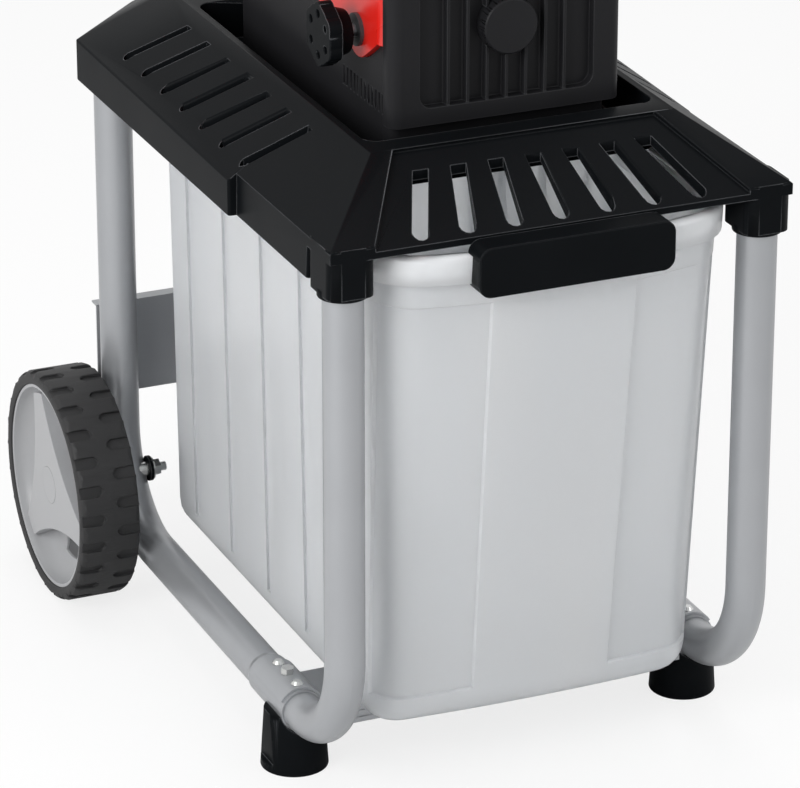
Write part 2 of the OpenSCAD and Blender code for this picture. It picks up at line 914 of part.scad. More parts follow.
// Swept slots in the side roofs, with round outer ends
module side_slots() {
  r = side_slot_w / 2;
  inner = ridge_x + side_slot_inset;
  outer = hood_rear_x - side_slot_inset;
  for (s = [-1, 1], k = [0:slot_count - 1])
    on_side(s)
      translate([0, 0, eave_z - eave_h])
        linear_extrude(ridge_z - eave_z + eave_h + cut)
          translate([0, yf(side_slot_y + side_slot_pitch * k)])
            polygon(concat(
              [for (a = [90:-30:-90]) [outer - r + r * cos(a), r * sin(a)]],
              [[inner, -side_slot_sweep - r], [inner, r - side_slot_sweep]]
            ));
}

// Shallow tray in the front roof that holds the grille
module grille_recess() {
  rise = sqrt(pow(ridge_z - eave_z, 2) + pow(ridge_y + hood_nose, 2));
  translate([0, yf(-hood_nose), eave_z])
    rotate([roof_tilt, 0, 0])
      translate([0, 0, -grille_depth])
        linear_extrude(grille_depth + tube_d)
          polygon([
            [-grille_front_x, -tube_d], [grille_front_x, -tube_d],
            [grille_front_x, 0], [grille_rear_x, rise], [-grille_rear_x, rise], [-grille_front_x, 0]
          ]);
}

// Well that the machine stands in, as a block with walls and a floor
module well_block(wall, bottom, top) {
  translate([0, yf((well_y + well_end) / 2), bottom])
    linear_extrude(top - bottom)
      rrect(2 * (well_x + wall), well_end - well_y + 2 * wall, well_r + wall);
}

module base_hood() {
  color(black_plastic)
    difference() {
      union() {
        difference() {
          union() {
            hood_shell(0, 0, 0);
            hood_skirt(0, skirt_z, block_d - hood_nose - cut);
          }
          grille_recess();
          difference() {
            union() {
              hood_shell(hood_wall, front_drop, rear_drop);
              hood_skirt(hood_wall, skirt_z - cut, -hood_nose - cut);
            }
            well_block(hood_wall, well_z - well_floor, ridge_z + cut);
            for (s = [-1, 1])
              on_side(s) {
                leg_boss(ridge_z);
                box_runner(ridge_z);
              }
          }
        }
        for (s = [-1, 1])
          on_side(s) {
            corner_block();
            leg_boss(skirt_z + collar_h);
            box_runner(skirt_z + collar_h);
          }
      }
      well_block(0, well_z, ridge_z + cut);
      side_slots();
      front_slots();
      chute_hole();
      for (s = [-1, 1], d = [0, leg_span_y])
        translate([s * leg_x, yf(d), skirt_z - tube_d])
          cylinder(r = socket_r, h = leg_top_z + seat_gap - skirt_z + tube_d);
    }
}

// Way through the well's floor for the shredded material
module chute_hole() {
  translate([chute_x0 - free_gap, yf(chute_y0 - free_gap), well_z - well_floor - cut])
    cube([chute_x1 - chute_x0 + 2 * free_gap, chute_y1 - chute_y0 + 2 * free_gap, well_floor + 2 * cut]);
}

// Collecting box

// One level of the box: narrower, less bowed and set back towards the bottom; inset draws it in, and set
// moves only the front back
module box_level(z, inset, set = 0, t = 0.5) {
  h = (z - box_z) / (box_top - box_z);
  x = box_x - box_lean * (1 - h) - inset;
  nose = box_rake * (1 - h) - box_nose + inset + set;
  bow = box_bow * (0.25 + 0.75 * h);
  rear = box_rear - inset;
  r = box_corner_r - inset / 3;
  translate([0, 0, z])
    linear_extrude(t) {
      polygon([for (u = [-0.8:0.2:0.8]) [x * u, yf(nose + bow * u * u)]]);
      for (s = [-1, 1]) {
        translate([s * (x - r), yf(nose + bow + r * 0.6)])
          circle(r, $fn = 32);
        translate([s * (x - r), yf(rear - r)])
          circle(r, $fn = 32);
      }
    }
}

// Lofted body of the box with a rounded bottom edge
module box_body(wall, bottom, top, set = 0) {
  hull() {
    box_level(bottom, box_bottom_r * 0.9 + wall, set);
    box_level(bottom + box_bottom_r * 0.3, box_bottom_r * 0.32 + wall, set);
    box_level(bottom + box_bottom_r, wall, set);
    box_level(top - 0.5, wall, set);
  }
}

// Part of the front that stands proud: a middle panel that widens upwards, and a ledge under the rim
module front_panel(wall) {
  low_x = front_panel_x - panel_taper - wall;
  top_x = front_panel_x - wall;
  ledge = panel_top + wall;
  side = box_x + rim_out;
  reach = box_rake + box_bow + box_corner_r;
  translate([0, yf(reach), 0])
    rotate([90, 0, 0])
      linear_extrude(reach + box_nose + rim_out)
        polygon([
          [-low_x, box_z - cut], [low_x, box_z - cut], [top_x, ledge], [side, ledge],
          [side, box_top + 2 * cut], [-side, box_top + 2 * cut], [-side, ledge], [-top_x, ledge]
        ]);
}

// Flutes that stand out from one side, leaning with it
module side_flutes(wall) {
  root = 2;
  slant = flute_slant;
  translate([box_x - box_lean, 0, box_z])
    rotate([0, box_side_lean, 0])
      for (k = [0:flute_count - 1])
        translate([-wall, yf(flute_y + 2 * flute_w * k), flute_z + wall])
          linear_extrude(flute_h - 2 * wall)
            polygon([
              [-root, wall], [-root, flute_w - wall], [0, flute_w - wall],
              [flute_out, flute_w - slant - wall], [flute_out, slant + wall], [0, wall]
            ]);
}

// Form of the box with its panels and flutes
module box_form(wall, bottom, top) {
  box_body(wall, bottom, top, panel_step);
  intersection() {
    box_body(wall, bottom, top);
    front_panel(wall);
  }
  for (s = [-1, 1])
    on_side(s)
      side_flutes(wall);
}

// Band round the mouth of the box; grow widens it for the pieces that clip over it
module box_rim(grow) {
  hull() {
    box_level(box_top - rim_h - grow, -rim_out - grow);
    box_level(box_top - 0.5 + grow, -rim_out - grow);
  }
}

module collecting_box() {
  color(box_milky)
    difference() {
      union() {
        box_form(0, box_z, box_top);
        box_rim(0);
      }
      box_form(box_wall, box_z + box_wall, box_top + cut);
    }
}

// Grip that hooks over and under the front of the rim
module box_grip() {
  top = box_top + grip_rise;
  depth = grip_reach - box_nose + rim_out + box_wall;
  color(black_plastic)
    difference() {
      translate([0, yf(-grip_reach), top - grip_h / 2])
        rotate([-90, 0, 0])
          linear_extrude(depth)
            rrect(2 * grip_x, grip_h, grip_h / 4);
      box_rim(seat_gap);
      box_body(-seat_gap, box_z, box_top);
    }
}

// Housing

// Upright shell with rounded corners between two heights
module upright(x, d0, d1, z0, z1, r) {
  translate([0, yf((d0 + d1) / 2), z0])
    linear_extrude(z1 - z0)
      rrect(2 * x, d1 - d0, r);
}

module lower_housing() {
  vent_w = 3;
  vent_h = 16;
  vent_pitch = 7;
  color(black_plastic)
    difference() {
      upright(lower_x, wall_y, lower_end, well_z + seat_gap, red_z, body_r);
      upright(lower_x - body_wall, wall_y + body_wall, lower_end - body_wall, floor_top, red_z + cut,
              body_r - body_wall);
      translate([chute_x0 - free_gap, yf(chute_y0 - free_gap), well_z - cut])
        cube([chute_x1 - chute_x0 + 2 * free_gap, chute_y1 - chute_y0 + 2 * free_gap, body_wall + 2 * cut]);
      for (k = [0:vent_count - 1])
        translate([-lower_x - cut, yf(wall_y + body_r + vent_pitch * k), cover_z + 4])
          cube([2 * lower_x + 2 * cut, vent_w, vent_h]);
      spindle_boss(-body_x, cut - lower_x + body_wall, free_gap);
    }
}

// Outer form of the red housing: a rounded plan cut by sloping shoulders at the sides and the rear
module red_form(wall, z0, z1) {
  x = body_x - wall;
  front = wall_y + wall;
  rear = body_end - wall;
  low = z1 - shoulder;
  intersection() {
    upright(x, front, rear, z0, z1, body_r - wall);
    translate([0, yf(rear) + cut, 0])
      rotate([90, 0, 0])
        linear_extrude(rear - front + 2 * cut)
          polygon([
            [-x - cut, z0 - cut], [x + cut, z0 - cut], [x + cut, low], [x - shoulder_in, z1 + cut],
            [shoulder_in - x, z1 + cut], [-x - cut, low]
          ]);
    translate([-x - cut, 0, 0])
      rotate([90, 0, 90])
        linear_extrude(2 * x + 2 * cut)
          polygon([
            [yf(front) - cut, z0 - cut], [yf(rear) + cut, z0 - cut], [yf(rear) + cut, low],
            [yf(rear - 2 * shoulder_in), z1 + cut], [yf(front) - cut, z1 + cut]
          ]);
  }
}

module upper_housing() {
  edge_z = red_z + seat_gap;
  ledge_top = edge_z + body_wall;
  ledge_out = body_wall / 2;
  ledge_in = 2 * body_wall;
  neck_room = hopper_wall + free_gap;
  vents = 6;
  vent_pitch = 12;
  vent_w = 4;
  vent_h = 34;
  vent_set = 110;
  vent_y = body_end - vent_set;
  color(housing_red)
    difference() {
      union() {
        difference() {
          red_form(0, edge_z, red_top);
          red_form(body_wall, red_z - cut, red_top - body_wall);
        }
        difference() {
          upright(body_x - ledge_out, wall_y + ledge_out, body_end - ledge_out, edge_z, ledge_top, body_r);
          upright(lower_x - body_wall, wall_y + body_wall, lower_end - ledge_in, red_z, red_top, body_r);
        }
        spindle_boss(-body_x, 2 * body_wall - body_x, 0);
      }
      bar_x(-body_x - cut, -body_x + 4 * body_wall, spindle_y, spindle_z, bush_r + free_gap);
      neck_slab(red_top - 2 * body_wall, neck_room, 4 * body_wall);
      translate([-inlet_w / 2 - free_gap, yf(body_end) - 4 * body_wall, inlet_z - inlet_h / 2 - free_gap])
        cube([inlet_w + 2 * free_gap, 5 * body_wall, inlet_h + 2 * free_gap]);
      for (k = [0:vents - 1])
        translate([-body_x - cut, yf(vent_y + vent_pitch * k), red_z + shoulder * 0.78])
          cube([2 * body_x + 2 * cut, vent_w, vent_h]);
    }
}

// Boss round the spindle; its lower edge runs straight to the housing's front corner
module spindle_boss(x0, x1, grow) {
  r = boss_r + grow;
  corner = [yf(wall_y + body_r), red_z - grow];
  middle = [yf(spindle_y), spindle_z];
  span = corner - middle;
  turn = atan2(span[1], span[0]) + acos(r / norm(span));
  bar_x(x0, x1, spindle_y, spindle_z, r);
  translate([x0, 0, 0])
    rotate([90, 0, 90])
      linear_extrude(x1 - x0)
        polygon([middle, middle + r * [cos(turn), sin(turn)], corner, [corner[0], red_z + body_wall]]);
}

// Half of a rounded plan, open at the back
module cover_plan(x, depth, r) {
  intersection() {
    rrect(2 * x, 2 * depth, r);
    translate([-x, -depth])
      square([2 * x, depth]);
  }
}

module front_cover() {
  h = cover_top - cover_z;
  panel_w = 2 * (body_x - panel_margin);
  rib_w = 2.6;
  color(black_plastic)
    difference() {
      translate([0, yf(wall_y) - seat_gap, cover_z])
        linear_extrude(h)
          cover_plan(body_x, cover_depth - seat_gap, body_r);
      translate([0, yf(wall_y) + cut, cover_z + body_wall])
        linear_extrude(h - 2 * body_wall)
          cover_plan(body_x - body_wall, cover_depth - panel_recess - body_wall + cut, body_r / 2);
      difference() {
        translate([0, yf(cover_y) - cut, cover_z + h / 2])
          rotate([-90, 0, 0])
            linear_extrude(panel_recess + cut)
              rrect(panel_w, h - 2 * panel_border, body_r);
        difference() {
          for (k = [-(rib_count - 1) / 2:(rib_count - 1) / 2])
            translate([k * rib_pitch - rib_w / 2, yf(cover_y) + rib_set_back, cover_z])
              cube([rib_w, cover_depth, h]);
          bar_y(0, cutter_z, cover_y - cut, wall_y, cap_d / 2 + free_gap);
        }
      }
    }
}

module cover_cap() {
  r = cap_d / 2;
  color(black_plastic)
    translate([0, yf(cover_y + panel_recess - seat_gap), cutter_z])
      rotate([90, 0, 0])
        rotate_extrude()
          polygon([[0, 0], [r, 0], [r, cap_t - 2], [r - 2, cap_t], [0, cap_t]]);
}

// Hopper

module neck_slab(z, wall, t) {
  slab(neck_x0 - wall, neck_x1 + wall, neck_y0 - wall, neck_y1 + wall, z, neck_r + wall, t);
}

module mouth_slab(z, wall, t) {
  x = mouth_x + wall;
  slab(-x, x, mouth_y0 - wall, mouth_y0 + mouth_depth + wall, z, mouth_r + wall, t);
}

// Casing round the funnel: an upright foot on the red housing that flares to the mouth
module hopper_casing(wall) {
  casing_slab(wall, red_top + seat_gap, casing_z - red_top - seat_gap);
  hull() {
    casing_slab(wall, casing_z - 1, 1, $fn = 32);
    mouth_slab(mouth_z - mouth_rim_h, hopper_wall - wall, 0.5, $fn = 32);
  }
}

module casing_slab(wall, z, t) {
  slab(wall - casing_x, casing_x - wall, casing_y0 + wall, casing_y1 - wall, z, casing_r - wall, t);
}

module funnel(wall) {
  hull() {
    neck_slab(neck_top - 1, wall, 1, $fn = 32);
    mouth_slab(mouth_z - mouth_rim_h, wall, 0.5, $fn = 32);
  }
}

module hopper() {
  color(housing_red)
    difference() {
      union() {
        difference() {
          hopper_casing(0);
          hopper_casing(hopper_wall);
          casing_slab(hopper_wall, red_top - cut, 2 * cut);
        }
        funnel(hopper_wall);
        neck_slab(case_top + seat_gap, hopper_wall, neck_top - case_top - seat_gap);
        mouth_slab(mouth_z - mouth_rim_h, hopper_wall, mouth_rim_h);
      }
      neck_slab(case_top - cut, 0, neck_top - case_top + cut);
      funnel(0);
      mouth_slab(mouth_z - mouth_rim_h, 0, mouth_rim_h + cut);
    }
}

// Rim that caps the mouth, with a carrying grip at the rear
module hopper_rim() {
  rear = mouth_y0 + mouth_depth;
  below = hopper_top - 2 * mouth_rim_h;
  bar = 18;
  color(black_plastic)
    difference() {
      union() {
        mouth_slab(hopper_top - mouth_rim_h, hopper_wall + mouth_lip, mouth_rim_h);
        slab(-grip_loop_w / 2, grip_loop_w / 2, rear - bar, rear + finger_depth + mouth_lip + bar,
             hopper_top - mouth_rim_h, bar, mouth_rim_h);
      }
      mouth_slab(below, 0, 3 * mouth_rim_h);
      mouth_slab(below, hopper_wall + seat_gap, mouth_z + seat_gap - below);
      slab(bar - grip_loop_w / 2, grip_loop_w / 2 - bar, rear + hopper_wall + mouth_lip,
           rear + hopper_wall + mouth_lip + finger_depth, below, 8, 3 * mouth_rim_h);
    }
}

// Controls

// Side outline of the control panel, as distance and height, drawn in by a wall
module panel_profile(wall) {
  front = panel_y + wall;
  rear = panel_y + panel_depth - wall;
  low = panel_z + panel_front_h - wall / cos(panel_tilt);
  polygon([
    [yf(front), panel_z - wall], [yf(rear), panel_z - wall],
    [yf(rear), low + panel_rise - wall * tan(panel_tilt)], [yf(front), low + wall * tan(panel_tilt)]
  ]);
}

// Places a piece on the slanted face: along X, up the slope, and outwards
module on_panel(x) {
  translate([x, yf(panel_y), panel_z + panel_front_h])
    rotate([panel_tilt, 0, 0])
      translate([0, control_v, 0])
        children();
}

module control_panel() {
  color(black_plastic)
    difference() {
      translate([-panel_x, 0, 0])
        rotate([90, 0, 90])
          linear_extrude(2 * panel_x)
            panel_profile(0);
      translate([body_wall - panel_x, 0, 0])
        rotate([90, 0, 90])
          linear_extrude(2 * (panel_x - body_wall))
            panel_profile(body_wall);
      for (x = [start_x, stop_x])
        on_panel(x)
          translate([0, 0, -20])
            cylinder(d = button_d + 2 * free_gap, h = 30);
      on_panel(reset_x)
        translate([0, 0, -20])
          cylinder(d = reset_d + 2 * free_gap, h = 30);
      on_panel(selector_x)
        translate([0, 0, -20])
          cylinder(d = selector_stem + 2 * run_gap, h = 30);
    }
}

// Push button with a flange behind the panel that keeps it in
module push_button(x, d, proud, paint) {
  color(paint)
    on_panel(x) {
      translate([0, 0, -button_depth])
        cylinder(d = d, h = button_depth + proud - 1);
      translate([0, 0, proud - 1 - seat_gap])
        cylinder(d1 = d, d2 = d - 2, h = 1);
      translate([0, 0, -button_depth])
        cylinder(d = d + 3, h = 2);
    }
}

module start_button() {
  push_button(start_x, button_d, 4, start_green);
}

module stop_button() {
  push_button(stop_x, button_d, 5, housing_red);
}

module reset_button() {
  push_button(reset_x, reset_d, 4, dark_plastic);
}

module direction_knob() {
  ridge_w = 7;
  color(dark_plastic)
    on_panel(selector_x) {
      translate([0, 0, free_gap])
        cylinder(d = selector_d, h = 5);
      translate([-ridge_w / 2, 2 - selector_d / 2, free_gap + 4])
        cube([ridge_w, selector_d - 4, 9]);
      translate([0, 0, -button_depth])
        cylinder(d = selector_stem, h = button_depth + 2);
    }
}

// Switch block behind the panel, on four posts
module switch_block() {
  top = -button_depth - button_travel - free_gap;
  block_x = panel_x - body_wall - 1;
  block_v = 7.5;
  block_t = 5;
  post_r = 2.5;
  post_in = 3;
  color(dark_plastic)
    on_panel(0) {
      translate([-block_x, -block_v, top - block_t])
        cube([2 * block_x, 2 * block_v, block_t]);
      for (s = [-1, 1], v = [-1, 1])
        translate([s * (block_x - post_in), v * (block_v - post_in), top - cut])
          cylinder(r = post_r, h = cut - top - body_wall - seat_gap);
    }
}

// Recessed mains inlet with its pins, in the rear wall
module mains_inlet() {
  depth = 22;
  wall = 4;
  lip = 5;
  color(black_plastic)
    translate([0, yf(body_end), inlet_z]) {
      difference() {
        union() {
          translate([-inlet_w / 2, -depth, -inlet_h / 2])
            cube([inlet_w, depth + 1, inlet_h]);
          translate([0, seat_gap, 0])
            rotate([-90, 0, 0])
              linear_extrude(3)
                rrect(inlet_w + 2 * lip, inlet_h + 2 * lip, lip + 2);
        }
        translate([0, wall - depth, 0])
          rotate([-90, 0, 0])
            linear_extrude(depth + 2 * wall)
              rrect(inlet_w - 2 * wall, inlet_h - 2 * wall, 8);
      }
      for (x = [-1, 0, 1])
        translate([x * 12, wall - depth - 1, x == 0 ? 5 : -5])
          rotate([-90, 0, 0])
            cylinder(d = 4, h = 14);
    }
}

// Cutter

module cutter_case() {
  x0 = chamber_left - case_side_t;
  x1 = chamber_right + case_side_t;
  color(cast_grey)
    difference() {
      translate([x0, yf(case_y), case_bottom])
        cube([x1 - x0, case_end - case_y, case_top - case_bottom]);
      translate([chamber_left, yf(chamber_y), case_bottom - cut])
        cube([chamber_right - chamber_left, chamber_len, case_top - case_bottom + 2 * cut]);
      bar_y(0, cutter_z, case_y - cut, case_end + cut, bearing_d / 2);
      bar_x(x0 - cut, chamber_left + cut, spindle_y, spindle_z, bush_r + seat_gap);
      bar_y(lay_x, lay_z, case_end - journal, case_end + cut, lay_d / 2 + run_gap);
    }
}

// Roller with hooked teeth, cut by rings into separate cutters
module cutter_roller() {
  tip = cutter_d / 2;
  root = tip - 9;
  ring_w = 4;
  rings = 5;
  step = 360 / cutter_teeth;
  roller_y = chamber_y + (chamber_len - cutter_len) / 2;
  color(steel)
    difference() {
      translate([0, yf(roller_y), cutter_z])
        rotate([-90, 0, 0])
          linear_extrude(cutter_len)
            polygon([for (k = [0:cutter_teeth - 1], p = [[root, 3], [tip, 0], [tip - 1.5, -6]])
              [p[0] * cos(p[1] - step * k), p[0] * sin(p[1] - step * k)]]);
      bar_y(0, cutter_z, chamber_y - cut, case_end, shaft_d / 2 + seat_gap);
      for (k = [1:rings])
        translate([0, yf(roller_y + cutter_len * k / (rings + 1) - ring_w / 2), cutter_z])
          rotate([-90, 0, 0])
            rotate_extrude()
              translate([root + 1, 0])
                square([20, ring_w]);
    }
}

module cutter_shaft() {
  color(steel)
    bar_y(0, cutter_z, case_y + 0.5, slow_gear_y + slow_gear_w + 4, shaft_d / 2);
}

module shaft_bearing(d0) {
  color(zinc)
    difference() {
      bar_y(0, cutter_z, d0, d0 + bearing_w, bearing_d / 2 - seat_gap);
      bar_y(0, cutter_z, d0 - cut, d0 + bearing_w + cut, shaft_d / 2 + run_gap);
    }
}

module front_bearing() {
  shaft_bearing(case_y + 0.5);
}

module rear_bearing() {
  shaft_bearing(case_end - bearing_w - 0.5);
}

// Plate that the roller cuts against, with a slanted lead-in
module pressure_plate() {
  face = -cutter_d / 2 - plate_gap;
  back = face - press_t;
  color(cast_grey)
    difference() {
      translate([0, yf(chamber_y + 1 + chamber_len - 2), 0])
        rotate([90, 0, 0])
          linear_extrude(chamber_len - 2)
            polygon([
              [back, spindle_z - 36], [face, spindle_z - 36], [face, cutter_z + 32],
              [back + 8, cutter_z + 54], [back, cutter_z + 54]
            ]);
      bar_x(back - cut, back + press_t * 0.75, spindle_y, spindle_z, spindle_d / 2 + run_gap);
    }
}

module adjuster_spindle() {
  color(steel)
    bar_x(knob_face + 4, spindle_tip, spindle_y, spindle_z, spindle_d / 2);
}

// Lobed knob with a ring of holes in its face
module adjuster_knob() {
  r = knob_d / 2;
  lobes = 6;
  flange = 11;
  color(black_plastic)
    difference() {
      translate([knob_face, yf(spindle_y), spindle_z])
        rotate([0, 90, 0])
          difference() {
            union() {
              cylinder(r = r - 2, h = flange);
              for (k = [0:lobes - 1])
                rotate([0, 0, 360 / lobes * k])
                  translate([r - 9, 0, 0])
                    cylinder(r = 9, h = flange);
              translate([0, 0, flange - 1])
                cylinder(r1 = r - 5, r2 = r - 9, h = knob_t - flange + 1);
            }
            for (k = [0:lobes - 1])
              rotate([0, 0, 360 / lobes * k])
                translate([r - 9.5, 0, -cut])
                  cylinder(r = 3.2, h = 6);
          }
      bar_x(knob_face + 3, knob_face + knob_t + cut, spindle_y, spindle_z, spindle_d / 2 + seat_gap);
    }
}

module spindle_bush() {
  color(dark_plastic)
    difference() {
      union() {
        bar_x(-body_x - 3, chamber_left - 0.5, spindle_y, spindle_z, bush_r);
        bar_x(-body_x - 3, -body_x - seat_gap, spindle_y, spindle_z, bush_r + 4);
      }
      bar_x(-body_x - 4, chamber_left, spindle_y, spindle_z, spindle_d / 2 + run_gap);
    }
}

// Chute from the cutter case through both floors
module discharge_chute() {
  top = case_bottom - seat_gap;
  wall = 3;
  color(black_plastic)
    difference() {
      translate([chute_x0, yf(chute_y0), chute_z])
        cube([chute_x1 - chute_x0, chute_y1 - chute_y0, top - chute_z]);
      translate([chute_x0 + wall, yf(chute_y0 + wall), chute_z - cut])
        cube([chute_x1 - chute_x0 - 2 * wall, chute_y1 - chute_y0 - 2 * wall, top - chute_z + 2 * cut]);
    }
}

// Drive

// Involute angle in degrees at a pressure angle
function involute(a) = tan(a) * 180 / PI - a;

// Half the angle of a tooth at one radius
function tooth_half(teeth, rp, rb, r) =
  90 / teeth - backlash / rp * 90 / PI + involute(pressure_angle) - involute(acos(rb / max(r, rb)));

// Spur gear outline with involute flanks
module gear_outline(teeth, m) {
  rp = m * teeth / 2;
  rb = rp * cos(pressure_angle);
  ra = rp + 0.95 * m;
  rf = rp - 1.25 * m;
  steps = 4;
  radii = concat([rf], [for (i = [0:steps]) max(rb, rf) + (ra - max(rb, rf)) * i / steps]);
  polygon([
    for (k = [0:teeth - 1], side = [-1, 1], i = [0:steps + 1])
      let (
        r = radii[side < 0 ? i : steps + 1 - i],
        a = 360 / teeth * k + side * tooth_half(teeth, rp, rb, r)
      )
      [r * cos(a), r * sin(a)]
  ]);
}

// Gear along Y with a tooth, or a gap, turned towards an angle about its axis
module gear_y(x, z, d, w, teeth, m, angle, gap) {
  translate([x, yf(d), z])
    rotate([-90, 0, 0])
      rotate([0, 0, angle + (gap ? 180 / teeth : 0)])
        linear_extrude(w)
          gear_outline(teeth, m);
}

module output_gear() {
  color(steel)
    difference() {
      gear_y(0, cutter_z, slow_gear_y, slow_gear_w, wheel_teeth, module_slow, slow_angle, false);
      bar_y(0, cutter_z, slow_gear_y - cut, slow_gear_y + slow_gear_w + cut, shaft_d / 2 + seat_gap);
      for (k = [0:5])
        translate([0, yf(slow_gear_y - cut), cutter_z])
          rotate([-90, 0, 0])
            rotate([0, 0, 60 * k])
              translate([wheel_teeth * module_slow * 0.29, 0, 0])
                cylinder(r = wheel_teeth * module_slow * 0.08, h = slow_gear_w + 2 * cut);
    }
}

module layshaft() {
  mesh = slow_angle + 180;
  color(steel) {
    bar_y(lay_x, lay_z, case_end - journal + 0.5, gear_case_end - 0.5, lay_d / 2);
    gear_y(lay_x, lay_z, slow_gear_y - 1, slow_gear_w + 2, pinion_teeth, module_slow, mesh, true);
  }
}

module layshaft_gear() {
  color(steel)
    difference() {
      gear_y(lay_x, lay_z, fast_gear_y, fast_gear_w, wheel_teeth, module_fast, fast_angle, false);
      bar_y(lay_x, lay_z, fast_gear_y - cut, fast_gear_y + fast_gear_w + cut, lay_d / 2 + seat_gap);
    }
}

// Inside outline of the gear case round both gears, widened by a wall
module gear_case_plan(wall) {
  hull() {
    translate([0, -cutter_z])
      circle(wheel_teeth * module_slow / 2 + module_slow + gear_room + wall);
    translate([lay_x, -lay_z])
      circle(wheel_teeth * module_fast / 2 + module_fast + gear_room + wall);
  }
}

module gear_case() {
  color(cast_grey)
    difference() {
      translate([0, yf(case_end + seat_gap), 0])
        rotate([-90, 0, 0])
          linear_extrude(gear_case_end - case_end - seat_gap)
            gear_case_plan(gear_room);
      translate([0, yf(case_end - cut), 0])
        rotate([-90, 0, 0])
          linear_extrude(gear_case_end - gear_case_t - case_end + cut)
            gear_case_plan(0);
      bar_y(lay_x, lay_z, case_end, gear_case_end + cut, lay_d / 2 + run_gap);
      bar_y(motor_x, motor_z, case_end, gear_case_end + cut, motor_shaft_d / 2 + 1);
    }
}

module motor_shell() {
  wall = 4;
  end_t = 5;
  foot_w = motor_d * 0.5;
  floor_z = floor_top + seat_gap;
  color(cast_grey)
    difference() {
      union() {
        bar_y(motor_x, motor_z, motor_y + seat_gap, motor_end, motor_d / 2);
        for (d = [motor_y + 20, motor_end - 32])
          translate([motor_x - foot_w / 2, yf(d), floor_z])
            cube([foot_w, 12, motor_z - floor_z - motor_d / 4]);
      }
      bar_y(motor_x, motor_z, motor_y + end_t, motor_end - end_t, motor_d / 2 - wall);
      bar_y(motor_x, motor_z, motor_y - cut, motor_end + cut, motor_shaft_d / 2 + run_gap);
    }
}

module motor_stator() {
  outer = motor_d / 2 - 4 - seat_gap;
  slots = 24;
  color(steel)
    difference() {
      bar_y(motor_x, motor_z, stator_y, stator_y + stator_len, outer);
      bar_y(motor_x, motor_z, stator_y - cut, stator_y + stator_len + cut, rotor_r + 1);
      for (k = [0:slots - 1])
        translate([motor_x, yf(stator_y - cut), motor_z])
          rotate([-90, 0, 0])
            rotate([0, 0, 360 / slots * k])
              translate([rotor_r + 3, -1.8, 0])
                cube([14, 3.6, stator_len + 2 * cut]);
    }
}

module motor_windings() {
  coil_r = 8;
  color(copper)
    for (d = [stator_y - coil_r - seat_gap, stator_y + stator_len + coil_r + seat_gap])
      translate([motor_x, yf(d), motor_z])
        rotate([-90, 0, 0])
          rotate_extrude()
            translate([rotor_r + 11, 0])
              circle(coil_r);
}

module motor_shaft() {
  nose_r = module_fast * (pinion_teeth / 2 - 1.25) - 0.2;
  mesh = fast_angle + 180;
  color(steel) {
    bar_y(motor_x, motor_z, gear_case_end - gear_case_t, motor_end - 0.5, motor_shaft_d / 2);
    bar_y(motor_x, motor_z, fast_gear_y - 1, gear_case_end - gear_case_t + cut, nose_r);
    gear_y(motor_x, motor_z, fast_gear_y - 1, fast_gear_w + 2, pinion_teeth, module_fast, mesh, true);
  }
}

module motor_rotor() {
  color(cast_grey)
    difference() {
      bar_y(motor_x, motor_z, stator_y - 2, stator_y + stator_len + 2, rotor_r);
      bar_y(motor_x, motor_z, stator_y - 3, stator_y + stator_len + 3, motor_shaft_d / 2 + seat_gap);
    }
}

module motor_fan() {
  d0 = motor_end - 26;
  blades = 7;
  blade_t = 3;
  fan_w = 16;
  hub_r = motor_shaft_d / 2 + 6;
  fan_r = rotor_r + 8;
  color(dark_plastic)
    difference() {
      union() {
        bar_y(motor_x, motor_z, d0, d0 + fan_w, hub_r);
        bar_y(motor_x, motor_z, d0, d0 + blade_t, fan_r);
        for (k = [0:blades - 1])
          translate([motor_x, yf(d0 + cut), motor_z])
            rotate([-90, 0, 0])
              rotate([0, 0, 360 / blades * k])
                translate([hub_r - cut, -blade_t / 2, 0])
                  cube([fan_r - hub_r, blade_t, fan_w - 2 * cut]);
      }
      bar_y(motor_x, motor_z, d0 - cut, d0 + fan_w + cut, motor_shaft_d / 2 + seat_gap);
    }
}

module run_capacitor() {
  lean = 46;
  start = motor_y + 20;
  len = 80;
  color(bare_aluminium)
    bar_y(motor_x - cap_reach * sin(lean), motor_z + cap_reach * cos(lean), start, start + len,
          capacitor_r);
}

front_leg(-1);  // front_leg_left
front_leg(1);  // front_leg_right
rear_leg(-1);  // rear_leg_left
rear_leg(1);  // rear_leg_right
front_rail();
rear_plate();
foot(-1);  // foot_left
foot(1);  // foot_right
saddle_bolts();
saddle_rivets();
plate_screws();
axle(-1);  // axle_left
axle(1);  // axle_right
wheel_spacers();
axle_washers();
axle_nuts();
rim(-1);  // rim_left
rim(1);  // rim_right
hub_cap(-1);  // hub_cap_left
hub_cap(1);  // hub_cap_right
tyre(-1);  // tyre_left
tyre(1);  // tyre_right
base_hood();
collecting_box();
box_grip();
lower_housing();
upper_housing();
front_cover();
cover_cap();
hopper();
hopper_rim();
control_panel();
start_button();
stop_button();
reset_button();
direction_knob();
switch_block();
mains_inlet();
cutter_case();
cutter_roller();
cutter_shaft();
front_bearing();
rear_bearing();
pressure_plate();
adjuster_spindle();
adjuster_knob();
spindle_bush();
discharge_chute();
gear_case();
output_gear();
layshaft();
layshaft_gear();
motor_shell();
motor_stator();
motor_windings();
motor_shaft();
motor_rotor();
motor_fan();
run_capacitor();
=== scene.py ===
"""Looks of a garden shredder on a wheeled tube stand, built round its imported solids."""

import json
import math

import bmesh
import bpy
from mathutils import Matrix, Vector
from mathutils.bvhtree import BVHTree

